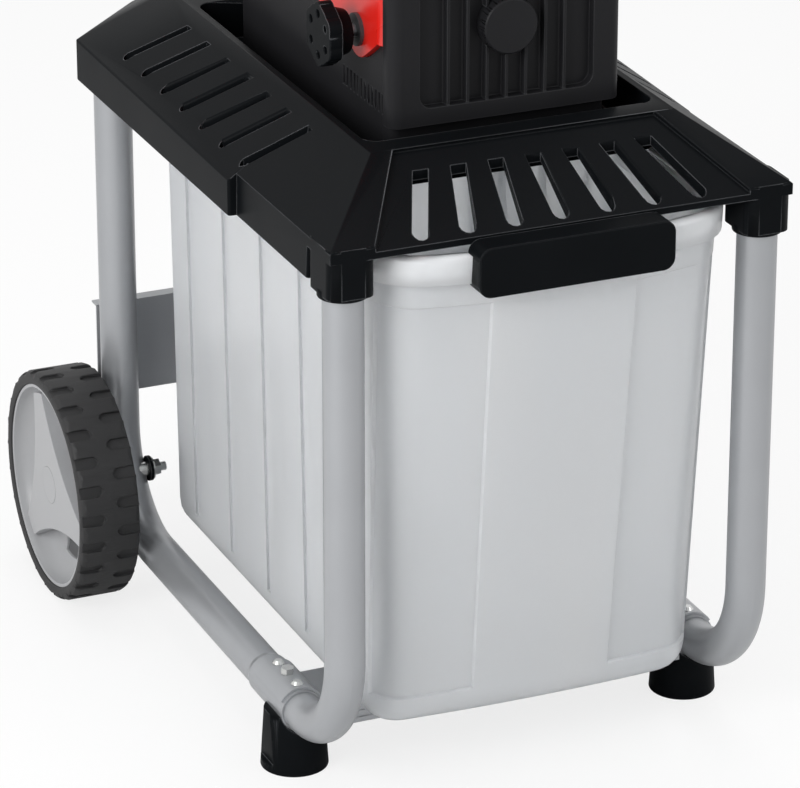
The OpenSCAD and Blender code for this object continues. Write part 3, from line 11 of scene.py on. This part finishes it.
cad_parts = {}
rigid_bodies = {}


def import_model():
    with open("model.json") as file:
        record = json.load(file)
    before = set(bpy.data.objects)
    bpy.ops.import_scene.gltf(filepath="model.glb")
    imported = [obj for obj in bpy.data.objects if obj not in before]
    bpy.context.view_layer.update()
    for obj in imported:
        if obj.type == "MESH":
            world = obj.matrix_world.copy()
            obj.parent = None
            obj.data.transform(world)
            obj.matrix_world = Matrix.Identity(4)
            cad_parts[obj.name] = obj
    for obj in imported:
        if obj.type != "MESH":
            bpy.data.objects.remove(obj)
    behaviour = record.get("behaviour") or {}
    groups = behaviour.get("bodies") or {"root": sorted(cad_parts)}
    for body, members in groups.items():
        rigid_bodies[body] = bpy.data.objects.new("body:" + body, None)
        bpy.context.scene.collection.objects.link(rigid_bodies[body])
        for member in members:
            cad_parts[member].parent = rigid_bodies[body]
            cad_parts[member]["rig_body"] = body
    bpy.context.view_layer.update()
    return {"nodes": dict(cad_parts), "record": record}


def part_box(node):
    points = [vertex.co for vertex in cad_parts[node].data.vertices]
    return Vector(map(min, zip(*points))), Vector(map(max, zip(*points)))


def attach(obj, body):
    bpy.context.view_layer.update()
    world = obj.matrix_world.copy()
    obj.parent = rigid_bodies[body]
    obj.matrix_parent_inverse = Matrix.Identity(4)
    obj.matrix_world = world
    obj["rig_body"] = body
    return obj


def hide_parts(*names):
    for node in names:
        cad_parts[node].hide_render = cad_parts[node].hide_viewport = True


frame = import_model()
MM = 0.001
NODES = frame["nodes"]
SLOT = {row["node"]: row["material_slot"] for row in frame["record"]["subparts"]}


# Materials

PATCH = 60 * MM              # size of the soft patches of colour and gloss
GLOSS_SPREAD = 0.06          # how far the roughness strays to either side
BUMP_STRENGTH = 0.5
HIGHLIGHT_R = 1.3 * MM             # how far from an edge its painted highlight reaches
HIGHLIGHT_STARTS = 0.99            # likeness of the blunted and the true normal where the painted highlight starts
HIGHLIGHT_FULL = 0.82              # and where it is at its most
HIGHLIGHT_MOST = 0.8               # share of the painted highlight colour there
STREAK = 70 * MM             # width of the streaks in the milky wall
STREAK_SQUEEZE = 0.12        # squeezing the height draws them out upright
RIPPLE = 9 * MM              # size of the ripple on the milky wall
RIPPLE_H = 0.1 * MM


def linear(colour):
    """sRGB hex colour as linear RGBA."""
    parts = [int(colour[i:i + 2], 16) / 255 for i in (1, 3, 5)]
    return tuple(c / 12.92 if c <= 0.04045 else ((c + 0.055) / 1.055) ** 2.4 for c in parts) + (1.0,)


def add(owner, kind, inputs, **settings):
    """Adds a node to a material or world; inputs are values or output sockets by input name."""
    made = owner.node_tree.nodes.new(kind)
    for name, value in settings.items():
        setattr(made, name, value)
    for name, value in inputs.items():
        if isinstance(value, bpy.types.NodeSocket):
            owner.node_tree.links.new(value, made.inputs[name])
        else:
            made.inputs[name].default_value = value
    return made


def new_material(name):
    """Empty node material and its Object coordinates."""
    material = bpy.data.materials.new(name)
    material.use_nodes = True
    material.node_tree.nodes.clear()
    place = add(material, "ShaderNodeTexCoord", {}).outputs["Object"]
    return material, place


def surface(material, shader):
    """Gives a material its shader."""
    add(material, "ShaderNodeOutputMaterial", {"Surface": shader.outputs[0]})
    return material


def noise(material, place, size, detail=2.0):
    """Soft noise with blotches of a given size."""
    made = add(material, "ShaderNodeTexNoise", {"Vector": place, "Scale": 1 / size, "Detail": detail})
    return made.outputs["Fac"]


def blend(material, share, first, second):
    """Colour between two others."""
    made = add(material, "ShaderNodeMix", {"Factor": share, "A": first, "B": second}, data_type="RGBA")
    return made.outputs["Result"]


def uneven(material, share, roughness):
    """Roughness that strays to either side of a value."""
    made = add(material, "ShaderNodeMapRange", {
        "Value": share, "To Min": roughness - GLOSS_SPREAD, "To Max": roughness + GLOSS_SPREAD})
    return made.outputs["Result"]


def relief(material, height, distance):
    """Normal of a surface with a fine relief."""
    made = add(material, "ShaderNodeBump", {
        "Height": height, "Strength": BUMP_STRENGTH, "Distance": distance})
    return made.outputs["Normal"]


def edge_highlight(material):
    """Share of painted highlight at a point: most on an edge, where the blunted normal turns away from the
    true one.
    """
    blunt = add(material, "ShaderNodeBevel", {"Radius": HIGHLIGHT_R}, samples=6)
    true = add(material, "ShaderNodeNewGeometry", {})
    likeness = add(material, "ShaderNodeVectorMath", {
        0: blunt.outputs["Normal"], 1: true.outputs["Normal"]}, operation="DOT_PRODUCT")
    made = add(material, "ShaderNodeMapRange", {
        "Value": likeness.outputs["Value"], "From Min": HIGHLIGHT_STARTS, "From Max": HIGHLIGHT_FULL,
        "To Min": 0.0, "To Max": HIGHLIGHT_MOST})
    return made.outputs["Result"]


def grained(name, colour, shade, roughness, grain_mm, grain_height_mm, edge=None, specular=0.5, **shader):
    """Moulded, cast or coated surface: two close shades in patches, uneven gloss and a fine raised grain.

    Where a colour is given for the edges, a painted highlight in it lies along them over about a millimetre.
    """
    material, place = new_material(name)
    patches = noise(material, place, PATCH, detail=4.0)
    tint = blend(material, patches, linear(colour), linear(shade))
    if edge:
        # painted highlight: the edges are lightened towards the edge colour
        tint = blend(material, edge_highlight(material), tint, linear(edge))
    grain = noise(material, place, grain_mm * MM)
    return surface(material, add(material, "ShaderNodeBsdfPrincipled", {
        "Base Color": tint,
        "Roughness": uneven(material, patches, roughness),
        "Normal": relief(material, grain, grain_height_mm * MM),
        "Specular IOR Level": specular, **shader}))


def milky(name, colour, shade, roughness, clearness):
    """Thin moulded wall: upright streaks where the melt ran, whiter and duller than the wall between them."""
    material, place = new_material(name)
    upright = add(material, "ShaderNodeMapping", {"Vector": place, "Scale": (1.0, 1.0, STREAK_SQUEEZE)})
    streaks = noise(material, upright.outputs[0], STREAK)
    waves = noise(material, place, RIPPLE)
    return surface(material, add(material, "ShaderNodeBsdfPrincipled", {
        "Base Color": blend(material, streaks, linear(colour), linear(shade)),
        "Roughness": uneven(material, streaks, roughness),
        "Normal": relief(material, waves, RIPPLE_H),
        "IOR": 1.49, "Transmission Weight": clearness}))


# Injection-moulded with a spark-eroded texture: deep black with a soft satin sheen; grey painted highlight
# along the edges
BLACK_PP = grained(
    "moulded_black_polypropylene", "#0c0e10", "#121416",
    roughness=0.34, grain_mm=0.9, grain_height_mm=0.10, edge="#6a6c6f", specular=0.025, IOR=1.49)
# Same plastic from a finer mould: charcoal, a shade lighter than the black; painted highlight along the edges
COVER_PP = grained(
    "moulded_charcoal_polypropylene", "#1b1b1d", "#222224",
    roughness=0.40, grain_mm=0.7, grain_height_mm=0.08, edge="#4a4b4d", specular=0.12, IOR=1.49)
# Glass-filled moulding: dark grey, duller than the black
DARK_PA = grained(
    "moulded_dark_grey_polyamide", "#333335", "#3d3d3f",
    roughness=0.46, grain_mm=0.9, grain_height_mm=0.10, IOR=1.53)
# Polished mould: saturated red with clear highlights
RED_ABS = grained(
    "moulded_red_abs", "#cb1b13", "#d4231a",
    roughness=0.28, grain_mm=2.5, grain_height_mm=0.04, IOR=1.54)
# Polished mould: plain green of a start button
GREEN_ABS = grained(
    "moulded_green_abs", "#2a8a36", "#33963f",
    roughness=0.30, grain_mm=2.5, grain_height_mm=0.05, IOR=1.54)
# Light grey moulding with a faint silvery sheen
RIM_PP = grained(
    "moulded_light_grey_polypropylene", "#9a9b9d", "#a3a4a6",
    roughness=0.36, grain_mm=1.2, grain_height_mm=0.05, IOR=1.49)
# Moulded rubber: black that stays dull, with a coarser skin
TYRE_RUBBER = grained(
    "black_tyre_rubber", "#19191a", "#242425",
    roughness=0.60, grain_mm=1.4, grain_height_mm=0.18, specular=0.4, IOR=1.52)
# Silver powder coat on steel tube: fine orange peel and a broad metallic sheen
POWDER_COAT = grained(
    "silver_polyester_powder_coat", "#9c9ea1", "#a5a7aa",
    roughness=0.34, grain_mm=2.2, grain_height_mm=0.08, IOR=1.5, Metallic=0.5)
# Bright zinc plate: clear reflections, with a slight yellow cast in patches
ZINC = grained(
    "bright_zinc_plate_on_steel", "#c4c6c9", "#d0d0cb",
    roughness=0.26, grain_mm=1.6, grain_height_mm=0.05, Metallic=1.0)
# Turned and ground steel: bright, with a soft haze
STEEL = grained(
    "machined_steel", "#94979b", "#a2a4a7",
    roughness=0.32, grain_mm=1.2, grain_height_mm=0.05, Metallic=1.0)
# Pressure die cast: grey metal with a rough skin
CAST = grained(
    "cast_aluminium", "#8b8e92", "#999b9e",
    roughness=0.52, grain_mm=1.8, grain_height_mm=0.25, Metallic=1.0)
# Varnished wire: copper with a brownish cast
COPPER = grained(
    "enamelled_copper_wire", "#b0653a", "#bd7244",
    roughness=0.35, grain_mm=0.8, grain_height_mm=0.3, Metallic=1.0)
# Thin natural polypropylene: milky white that lets light and blurred shapes through, smooth and a little waxy
MILKY_PP = milky(
    "milky_translucent_polypropylene", "#f1f4f7", "#fafbfc", roughness=0.32, clearness=0.6)
# The same where the wall is rolled double: whiter, with less light through it
MILKY_RIM_PP = milky(
    "milky_polypropylene_rolled_edge", "#f1f4f7", "#fafbfc", roughness=0.30, clearness=0.38)

PAINT = {
    "stand_paint": POWDER_COAT, "black_plastic": BLACK_PP, "dark_plastic": DARK_PA, "red_plastic": RED_ABS,
    "green_plastic": GREEN_ABS, "box_plastic": MILKY_PP, "rim_plastic": RIM_PP, "tyre_rubber": TYRE_RUBBER,
    "zinc": ZINC, "steel": STEEL, "cast_metal": CAST, "copper": COPPER,
}
# Solids whose copies are finished in charcoal
CHARCOAL = dict.fromkeys(("front_cover", "cover_cap", "lower_housing"), COVER_PP)
for name, solid in NODES.items():
    solid.data.materials.clear()
    solid.data.materials.append(PAINT[SLOT[name]])


# Pieces

SMOOTH_BELOW = math.radians(35)
NEAR = 0.01 * MM             # nearer than this is the same place


def place_piece(bm, name, like, stands_for, finish=None):
    """Makes the bmesh a piece that rides with a solid, wears its slot's material unless given a finish, and
    hides the named solids.
    """
    mesh = bpy.data.meshes.new(name)
    bm.to_mesh(mesh)
    bm.free()
    mesh.materials.append(finish or PAINT[SLOT[like]])
    mesh.shade_smooth()
    mesh.set_sharp_from_angle(angle=SMOOTH_BELOW)
    piece = bpy.data.objects.new(name, mesh)
    bpy.context.scene.collection.objects.link(piece)
    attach(piece, NODES[like]["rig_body"])
    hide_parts(*stands_for)
    return piece


def bevel(bm, geom, radius, segments, affect="EDGES"):
    """Rounds the given edges or corners."""
    bmesh.ops.bevel(bm, geom=geom, offset=radius, offset_type="OFFSET", segments=segments, profile=0.5,
                    affect=affect, clamp_overlap=False, material=-1)


# Roof of the hood, which is less steep where it is wider

HOOD_STEP_Y = -107.5 * MM    # where the front roof ends and the wider rear roof begins
RIDGE_X = 127 * MM
RIDGE_Z = 530 * MM
EAVE_Z = 486 * MM
FRONT_RUN = 63.5 * MM        # from the ridge out to the eaves
REAR_RUN = 70.5 * MM
FRONT_SLOPE, REAR_SLOPE = ((RIDGE_Z - EAVE_Z) / run for run in (FRONT_RUN, REAR_RUN))
ROOF_LOW_Z = 480 * MM        # corners below this belong to the skirt
ROOF_SKIN = 0.6 * MM         # a corner within this of the rear roof belongs to its top side
PAST_FRONT = 2 * MM          # a corner at the step this far outside the front roof is the rear roof's own
LEVELLED = 250 * MM          # the rear roof is back at its own slope this far behind the step


def level_roof(bm):
    """Lays the wider rear roof of the hood on the plane of its front roof where they meet."""
    for v in bm.verts:
        out = max(abs(v.co.x) - RIDGE_X, 0)
        behind = v.co.y - HOOD_STEP_Y
        if v.co.z < ROOF_LOW_Z or behind < -NEAR:
            continue
        if behind > NEAR or out > FRONT_RUN + PAST_FRONT:
            v.co.z -= (FRONT_SLOPE - REAR_SLOPE) * out * max(1 - behind / LEVELLED, 0)
        elif v.co.z > RIDGE_Z - REAR_SLOPE * out - ROOF_SKIN:
            v.co.z = RIDGE_Z - FRONT_SLOPE * out


# Rounded copies of the moulded solids

WELD = 0.002 * MM            # corners nearer than this are one
FLAT = math.radians(0.4)
SHARP = math.radians(32)
BROAD_FROM = 10 * MM         # edges longer than this take the broad radius
BROAD_SEGMENTS, FINE_SEGMENTS = 3, 2
ROOM_BESIDE = 2.1            # radii of skin beside an edge: its own rounding and one on the far side
OFF_SKIN = 0.3               # radii by which a trial point may miss the skin
LEAST_TURN = 0.02            # radians, so that no edge counts as folding straight back
LENGTH_SHARE = 0.48          # share of an edge that the rounding at one end may take up
BESIDE_SHARE = 0.9           # share of the next edge that it may take up


def beside_is_wide(edge, skin, radius):
    """Whether the skin goes on far enough beside an edge for its rounding and one on the far side."""
    start, end = (v.co for v in edge.verts)
    for loop in edge.link_loops:
        inward = edge.calc_tangent(loop) * ROOM_BESIDE * radius
        for share in (0.1, 0.5, 0.9):
            if skin.find_nearest(start.lerp(end, share) + inward)[3] > OFF_SKIN * radius:
                return False
    return True


def ends_have_room(edge, chosen, radius):
    """Whether an edge's rounding ends before it runs past the edges that it meets."""
    for face in edge.link_faces:
        for end in edge.verts:
            beside = next(e for e in face.edges if e is not edge and end in e.verts)
            along = edge.other_vert(end).co - end.co
            turn = max(along.angle(beside.other_vert(end).co - end.co, 0.0), LEAST_TURN)
            if beside in chosen:
                used, across = radius / math.tan(turn / 2), 0
            else:
                used, across = radius / math.tan(turn), radius / math.sin(turn)
            if used > LENGTH_SHARE * edge.calc_length() or across > BESIDE_SHARE * beside.calc_length():
                return False
    return True


def round_edges(bm, radius, shortest, segments):
    """Rounds the sharp edges that are long enough and have room."""
    skin = BVHTree.FromBMesh(bm)
    chosen = {e for e in bm.edges if e.is_manifold and e.calc_length() > shortest
              and e.calc_face_angle(0) > SHARP and beside_is_wide(e, skin, radius)}
    crowded = chosen
    while crowded:
        crowded = {e for e in chosen if not ends_have_room(e, chosen, radius)}
        chosen -= crowded
    bevel(bm, [e for e in bm.edges if e in chosen], radius, segments)
    bmesh.ops.remove_doubles(bm, verts=bm.verts, dist=WELD)


def rounded(node, fine_mm, broad_mm=None):
    """Copy of a solid with rounded edges: a broad radius on its long edges and a fine one on the rest."""
    bm = bmesh.new()
    bm.from_mesh(NODES[node].data)
    bmesh.ops.remove_doubles(bm, verts=bm.verts, dist=WELD)
    bmesh.ops.dissolve_limit(bm, angle_limit=FLAT, verts=bm.verts, edges=bm.edges)
    if node == "base_hood":
        level_roof(bm)
    if broad_mm:
        round_edges(bm, broad_mm * MM, BROAD_FROM, BROAD_SEGMENTS)
    round_edges(bm, fine_mm * MM, 0, FINE_SEGMENTS)
    piece = place_piece(bm, node + "_rounded", node, [node], finish=CHARCOAL.get(node))
    piece.modifiers.new("even_shading", "WEIGHTED_NORMAL").keep_sharp = True


# Fine radius in mm, and broad radius where there is one
for node, radii in {
    "base_hood": (0.8, 2.5), "box_grip": (1.0, 2.5), "front_cover": (0.5, 1.5), "cover_cap": (1.0,),
    "lower_housing": (0.5, 1.5), "upper_housing": (0.6, 2.0), "hopper": (0.6, 1.5), "hopper_rim": (0.8, 2.0),
    "control_panel": (0.6, 1.0), "foot_left": (0.8, 2.0), "foot_right": (0.8, 2.0), "tyre_left": (0.8,),
    "tyre_right": (0.8,), "rim_left": (0.6, 1.5), "rim_right": (0.6, 1.5), "adjuster_knob": (1.0,),
    "direction_knob": (0.6,), "mains_inlet": (0.5,), "start_button": (0.6,), "stop_button": (0.6,),
    "reset_button": (0.5,),
}.items():
    rounded(node, *radii)


# Collecting box: a fluted tub with corner panels, and a rolled rim

BOX_LOW, BOX_HIGH = (Vector(corner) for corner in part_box("collecting_box"))
TUBE_R = 16 * MM
FRONT_LEG_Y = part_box("front_leg_left")[0][1] + TUBE_R
BOX_WALL = 3 * MM
RIM_WALL = 2.4 * MM
RIM_OUT = 6 * MM             # how far the rim stands out round the tub
RIM_H = 23 * MM
RIM_EDGE_R = 6 * MM
RIM_GAP = 0.2 * MM           # between the tub's top edge and the rim over it
BOX_X = BOX_HIGH.x - RIM_OUT
BOX_NOSE = BOX_LOW.y + RIM_OUT
BOX_REAR = BOX_HIGH.y - RIM_OUT
BOX_H = BOX_HIGH.z - BOX_LOW.z
TUB_H = BOX_H - RIM_WALL - RIM_GAP
CORNER_R = 30 * MM
FLOOR_R = 24 * MM
CORNER_SEGMENTS, FLOOR_SEGMENTS, RIM_SEGMENTS = 8, 6, 5
SIDE_LEAN = 5 * MM           # how far the sides come in from the rim to the floor
FRONT_LEAN = 46 * MM         # and the front
FRONT_BOW = 24 * MM          # how far the front's corners lie behind its middle, at the rim
FLOOR_BOW = 0.25             # share of that bow at the floor
FRONT_CUTS = [x * MM for x in range(-100, 101, 20)]
BEND_RUN = 120 * MM          # the front's lean and bow fade out along the sides over this length
BEND_END = BOX_NOSE + CORNER_R + BEND_RUN
BEND_CUTS = [BEND_END - BEND_RUN * k / 4 for k in (3, 2, 1, 0)]
FLUTE_Y = FRONT_LEG_Y + 155 * MM
FLUTES = 4
FLUTE_W = (BOX_REAR - CORNER_R - FLUTE_Y) / (2 * FLUTES - 1)
FLUTE_CUTS = [FLUTE_Y + FLUTE_W * k for k in range(2 * FLUTES)]
PANEL_X = 60 * MM
PANEL_LOW, PANEL_HIGH, FLUTE_HIGH = (h * MM for h in (28, 369, 382))
RELIEF = 2.5 * MM            # flutes stand out and panels lie back by this
FLUTE_EDGE = 2 * MM
PANEL_EDGE = 1.5 * MM
CUT_SNAP = 0.1 * MM
FACING = 0.9                 # part of a normal along a direction, for a face that looks that way
FRONT_FACING = 0.3           # the same for the front with its round corners
SQUARE = 1.2                 # radians between two faces, near to a right angle


def slice_through(bm, point, direction):
    """Cuts all faces along a plane, and keeps both sides."""
    bmesh.ops.bisect_plane(bm, geom=bm.verts[:] + bm.edges[:] + bm.faces[:], dist=CUT_SNAP,
                           plane_co=point, plane_no=direction)


def tub_block(grow, cuts_y, height):
    """Upright block on the box's floor plan with round corners, sliced where its front bends."""
    bm = bmesh.new()
    left, right = -BOX_X - grow, BOX_X + grow
    front, back = BOX_NOSE - grow, BOX_REAR + grow
    plan = (left, front), (right, front), (right, back), (left, back)
    corners = [bm.verts.new((x, y, 0)) for x, y in plan]
    bm.faces.new(corners)
    bevel(bm, corners, CORNER_R + grow, CORNER_SEGMENTS, affect="VERTICES")
    for x in FRONT_CUTS:
        slice_through(bm, (x, 0, 0), (1, 0, 0))
    for y in cuts_y:
        slice_through(bm, (0, y, 0), (0, 1, 0))
    drawn = bmesh.ops.extrude_face_region(bm, geom=bm.faces[:])["geom"]
    bmesh.ops.translate(bm, verts=[v for v in drawn if isinstance(v, bmesh.types.BMVert)], vec=(0, 0, height))
    bmesh.ops.recalc_face_normals(bm, faces=bm.faces[:])
    return bm


def sharp_at(bm, height):
    """Corner edges of a block that lie at one height."""
    return [e for e in bm.edges if len(e.link_faces) == 2 and e.calc_face_angle(0) > SQUARE
            and all(abs(v.co.z - height) < NEAR for v in e.verts)]


def inset(bm, faces, edge, depth=0.0):
    """Draws a border of a given width inside the faces, and moves them out by the depth."""
    bmesh.ops.inset_region(bm, faces=faces, thickness=edge, depth=depth, use_boundary=True,
                           use_even_offset=True)


def lean_and_bow(bm):
    """Leans the sides in and the front back towards the floor, and bows the front."""
    for v in bm.verts:
        rise = min(max((v.co.z - BOX_LOW.z) / BOX_H, 0), 1)
        across = v.co.x / BOX_X
        ahead = min(max((BEND_END - v.co.y) / BEND_RUN, 0), 1)
        lean = FRONT_LEAN * (1 - rise)
        bow = FRONT_BOW * (FLOOR_BOW + (1 - FLOOR_BOW) * rise) * across * across
        v.co.x -= across * SIDE_LEAN * (1 - rise)
        v.co.y += ahead * (lean + bow)


def add_wall(piece, thickness):
    """Gives a piece without thickness a wall inside its surface."""
    wall = piece.modifiers.new("wall", "SOLIDIFY")
    wall.thickness = thickness
    wall.offset = -1
    wall.use_even_offset = True


def tub():
    """Tub with raised flutes on its sides and sunk panels at the corners of its front."""
    bm = tub_block(0, FLUTE_CUTS + BEND_CUTS, TUB_H)
    bmesh.ops.delete(bm, geom=[f for f in bm.faces if f.normal.z > FACING], context="FACES")
    bevel(bm, sharp_at(bm, 0), FLOOR_R, FLOOR_SEGMENTS)
    for height in (PANEL_LOW, PANEL_HIGH, FLUTE_HIGH):
        slice_through(bm, (0, 0, height), (0, 0, 1))
    for side in (-1, 1):
        for k in range(0, 2 * FLUTES, 2):
            flute = [f for f in bm.faces if f.normal.x * side > FACING
                     and FLUTE_CUTS[k] < f.calc_center_median().y < FLUTE_CUTS[k + 1]
                     and PANEL_LOW < f.calc_center_median().z < FLUTE_HIGH]
            inset(bm, flute, FLUTE_EDGE, RELIEF)
        panel = [f for f in bm.faces if f.normal.y < -FRONT_FACING
                 and f.calc_center_median().x * side > PANEL_X
                 and PANEL_LOW < f.calc_center_median().z < PANEL_HIGH]
        inset(bm, panel, PANEL_EDGE, -RELIEF)
    bmesh.ops.translate(bm, verts=bm.verts, vec=(0, 0, BOX_LOW.z))
    lean_and_bow(bm)
    add_wall(place_piece(bm, "box_tub", "collecting_box", ["collecting_box"]), BOX_WALL)


def tub_rim():
    """Rolled rim: a skirt round the tub's top and a narrow ledge that ends at the inside of its wall."""
    bm = tub_block(RIM_OUT, BEND_CUTS, RIM_H)
    inset(bm, [f for f in bm.faces if f.normal.z > FACING], RIM_OUT + BOX_WALL)
    crest = sharp_at(bm, RIM_H)
    inner = [f for f in bm.faces if f.normal.z > FACING and not any(e in crest for e in f.edges)]
    floor = [f for f in bm.faces if f.normal.z < -FACING]
    bmesh.ops.delete(bm, geom=floor + inner, context="FACES")
    bevel(bm, sharp_at(bm, RIM_H), RIM_EDGE_R, RIM_SEGMENTS)
    bmesh.ops.translate(bm, verts=bm.verts, vec=(0, 0, BOX_HIGH.z - RIM_H))
    lean_and_bow(bm)
    rim = place_piece(bm, "box_rim", "collecting_box", ["collecting_box"], finish=MILKY_RIM_PP)
    add_wall(rim, RIM_WALL)


tub()
tub_rim()


# Stage, in metres

FLOOR_HALF = 20
FLOOR_GLOW = 0.8             # share of plain white that the camera sees in the paper
SKY_LIGHT = 0.5              # strength with which the white surroundings light matt surfaces
SOFTBOXES = {                # place, size and watts
    "softbox_left": ((-2.5, -1.3, 1.7), 1.6, 62),
    "softbox_right": ((1.9, -2.2, 2.0), 1.4, 16),
    "softbox_top": ((0.2, 0.4, 3.2), 2.0, 34),
}
LAMPS_AIM = Vector((0, 0, 0.45))
CAMERA_AT = (-1.378876, -3.200949, 1.710797)
CAMERA_DOWN = math.radians(23.081)
CAMERA_TURN = math.radians(23.171)
SENSOR_MM, FOCAL_MM = 36, 206.02
SEES_TO = 100


def lay_floor():
    """White backdrop paper, on which shadows show only faintly."""
    bm = bmesh.new()
    bmesh.ops.create_grid(bm, x_segments=1, y_segments=1, size=FLOOR_HALF)
    mesh = bpy.data.meshes.new("floor")
    bm.to_mesh(mesh)
    bm.free()
    floor = bpy.data.objects.new("floor", mesh)
    bpy.context.scene.collection.objects.link(floor)
    paper, _ = new_material("white_backdrop_paper")
    ray = add(paper, "ShaderNodeLightPath", {})
    matt = add(paper, "ShaderNodeBsdfDiffuse", {"Color": linear("#f4f4f4")})
    glow = add(paper, "ShaderNodeEmission", {"Color": linear("#ffffff"), "Strength": 1.0})
    share = add(paper, "ShaderNodeMath", {
        0: ray.outputs["Is Camera Ray"], 1: FLOOR_GLOW}, operation="MULTIPLY")
    surface(paper, add(paper, "ShaderNodeMixShader", {
        0: share.outputs[0], 1: matt.outputs[0], 2: glow.outputs[0]}))
    mesh.materials.append(paper)


def light_world():
    """White surroundings: full white where seen, mirrored or looked through to, and weaker as a light."""
    world = bpy.data.worlds.new("studio")
    bpy.context.scene.world = world
    world.use_nodes = True
    world.node_tree.nodes.clear()
    ray = add(world, "ShaderNodeLightPath", {}).outputs
    seen = ray["Is Camera Ray"]
    for kind in ("Is Transmission Ray", "Is Glossy Ray"):
        seen = add(world, "ShaderNodeMath", {0: seen, 1: ray[kind]}, operation="MAXIMUM").outputs[0]
    level = add(world, "ShaderNodeMapRange", {"Value": seen, "To Min": SKY_LIGHT, "To Max": 1.0})
    sky = add(world, "ShaderNodeBackground", {"Color": (1, 1, 1, 1), "Strength": level.outputs["Result"]})
    add(world, "ShaderNodeOutputWorld", {"Surface": sky.outputs[0]})


def hang_lamps():
    """Softboxes, turned to the middle of the machine."""
    for name, (where, size, power) in SOFTBOXES.items():
        lamp = bpy.data.lights.new(name, "AREA")
        lamp.size = size
        lamp.energy = power
        box = bpy.data.objects.new(name, lamp)
        box.location = where
        box.rotation_euler = (LAMPS_AIM - Vector(where)).to_track_quat("-Z", "Y").to_euler()
        bpy.context.scene.collection.objects.link(box)


def set_camera():
    """Camera of the photo, solved from points measured in it."""
    lens = bpy.data.cameras.new("camera")
    lens.sensor_width = SENSOR_MM
    lens.lens = FOCAL_MM
    lens.clip_end = SEES_TO
    camera = bpy.data.objects.new("camera", lens)
    camera.location = CAMERA_AT
    camera.rotation_euler = (math.pi / 2 - CAMERA_DOWN, 0, -CAMERA_TURN)
    bpy.context.scene.collection.objects.link(camera)
    bpy.context.scene.camera = camera
    bpy.context.scene.view_settings.view_transform = "Standard"


lay_floor()
light_world()
hang_lamps()
set_camera()
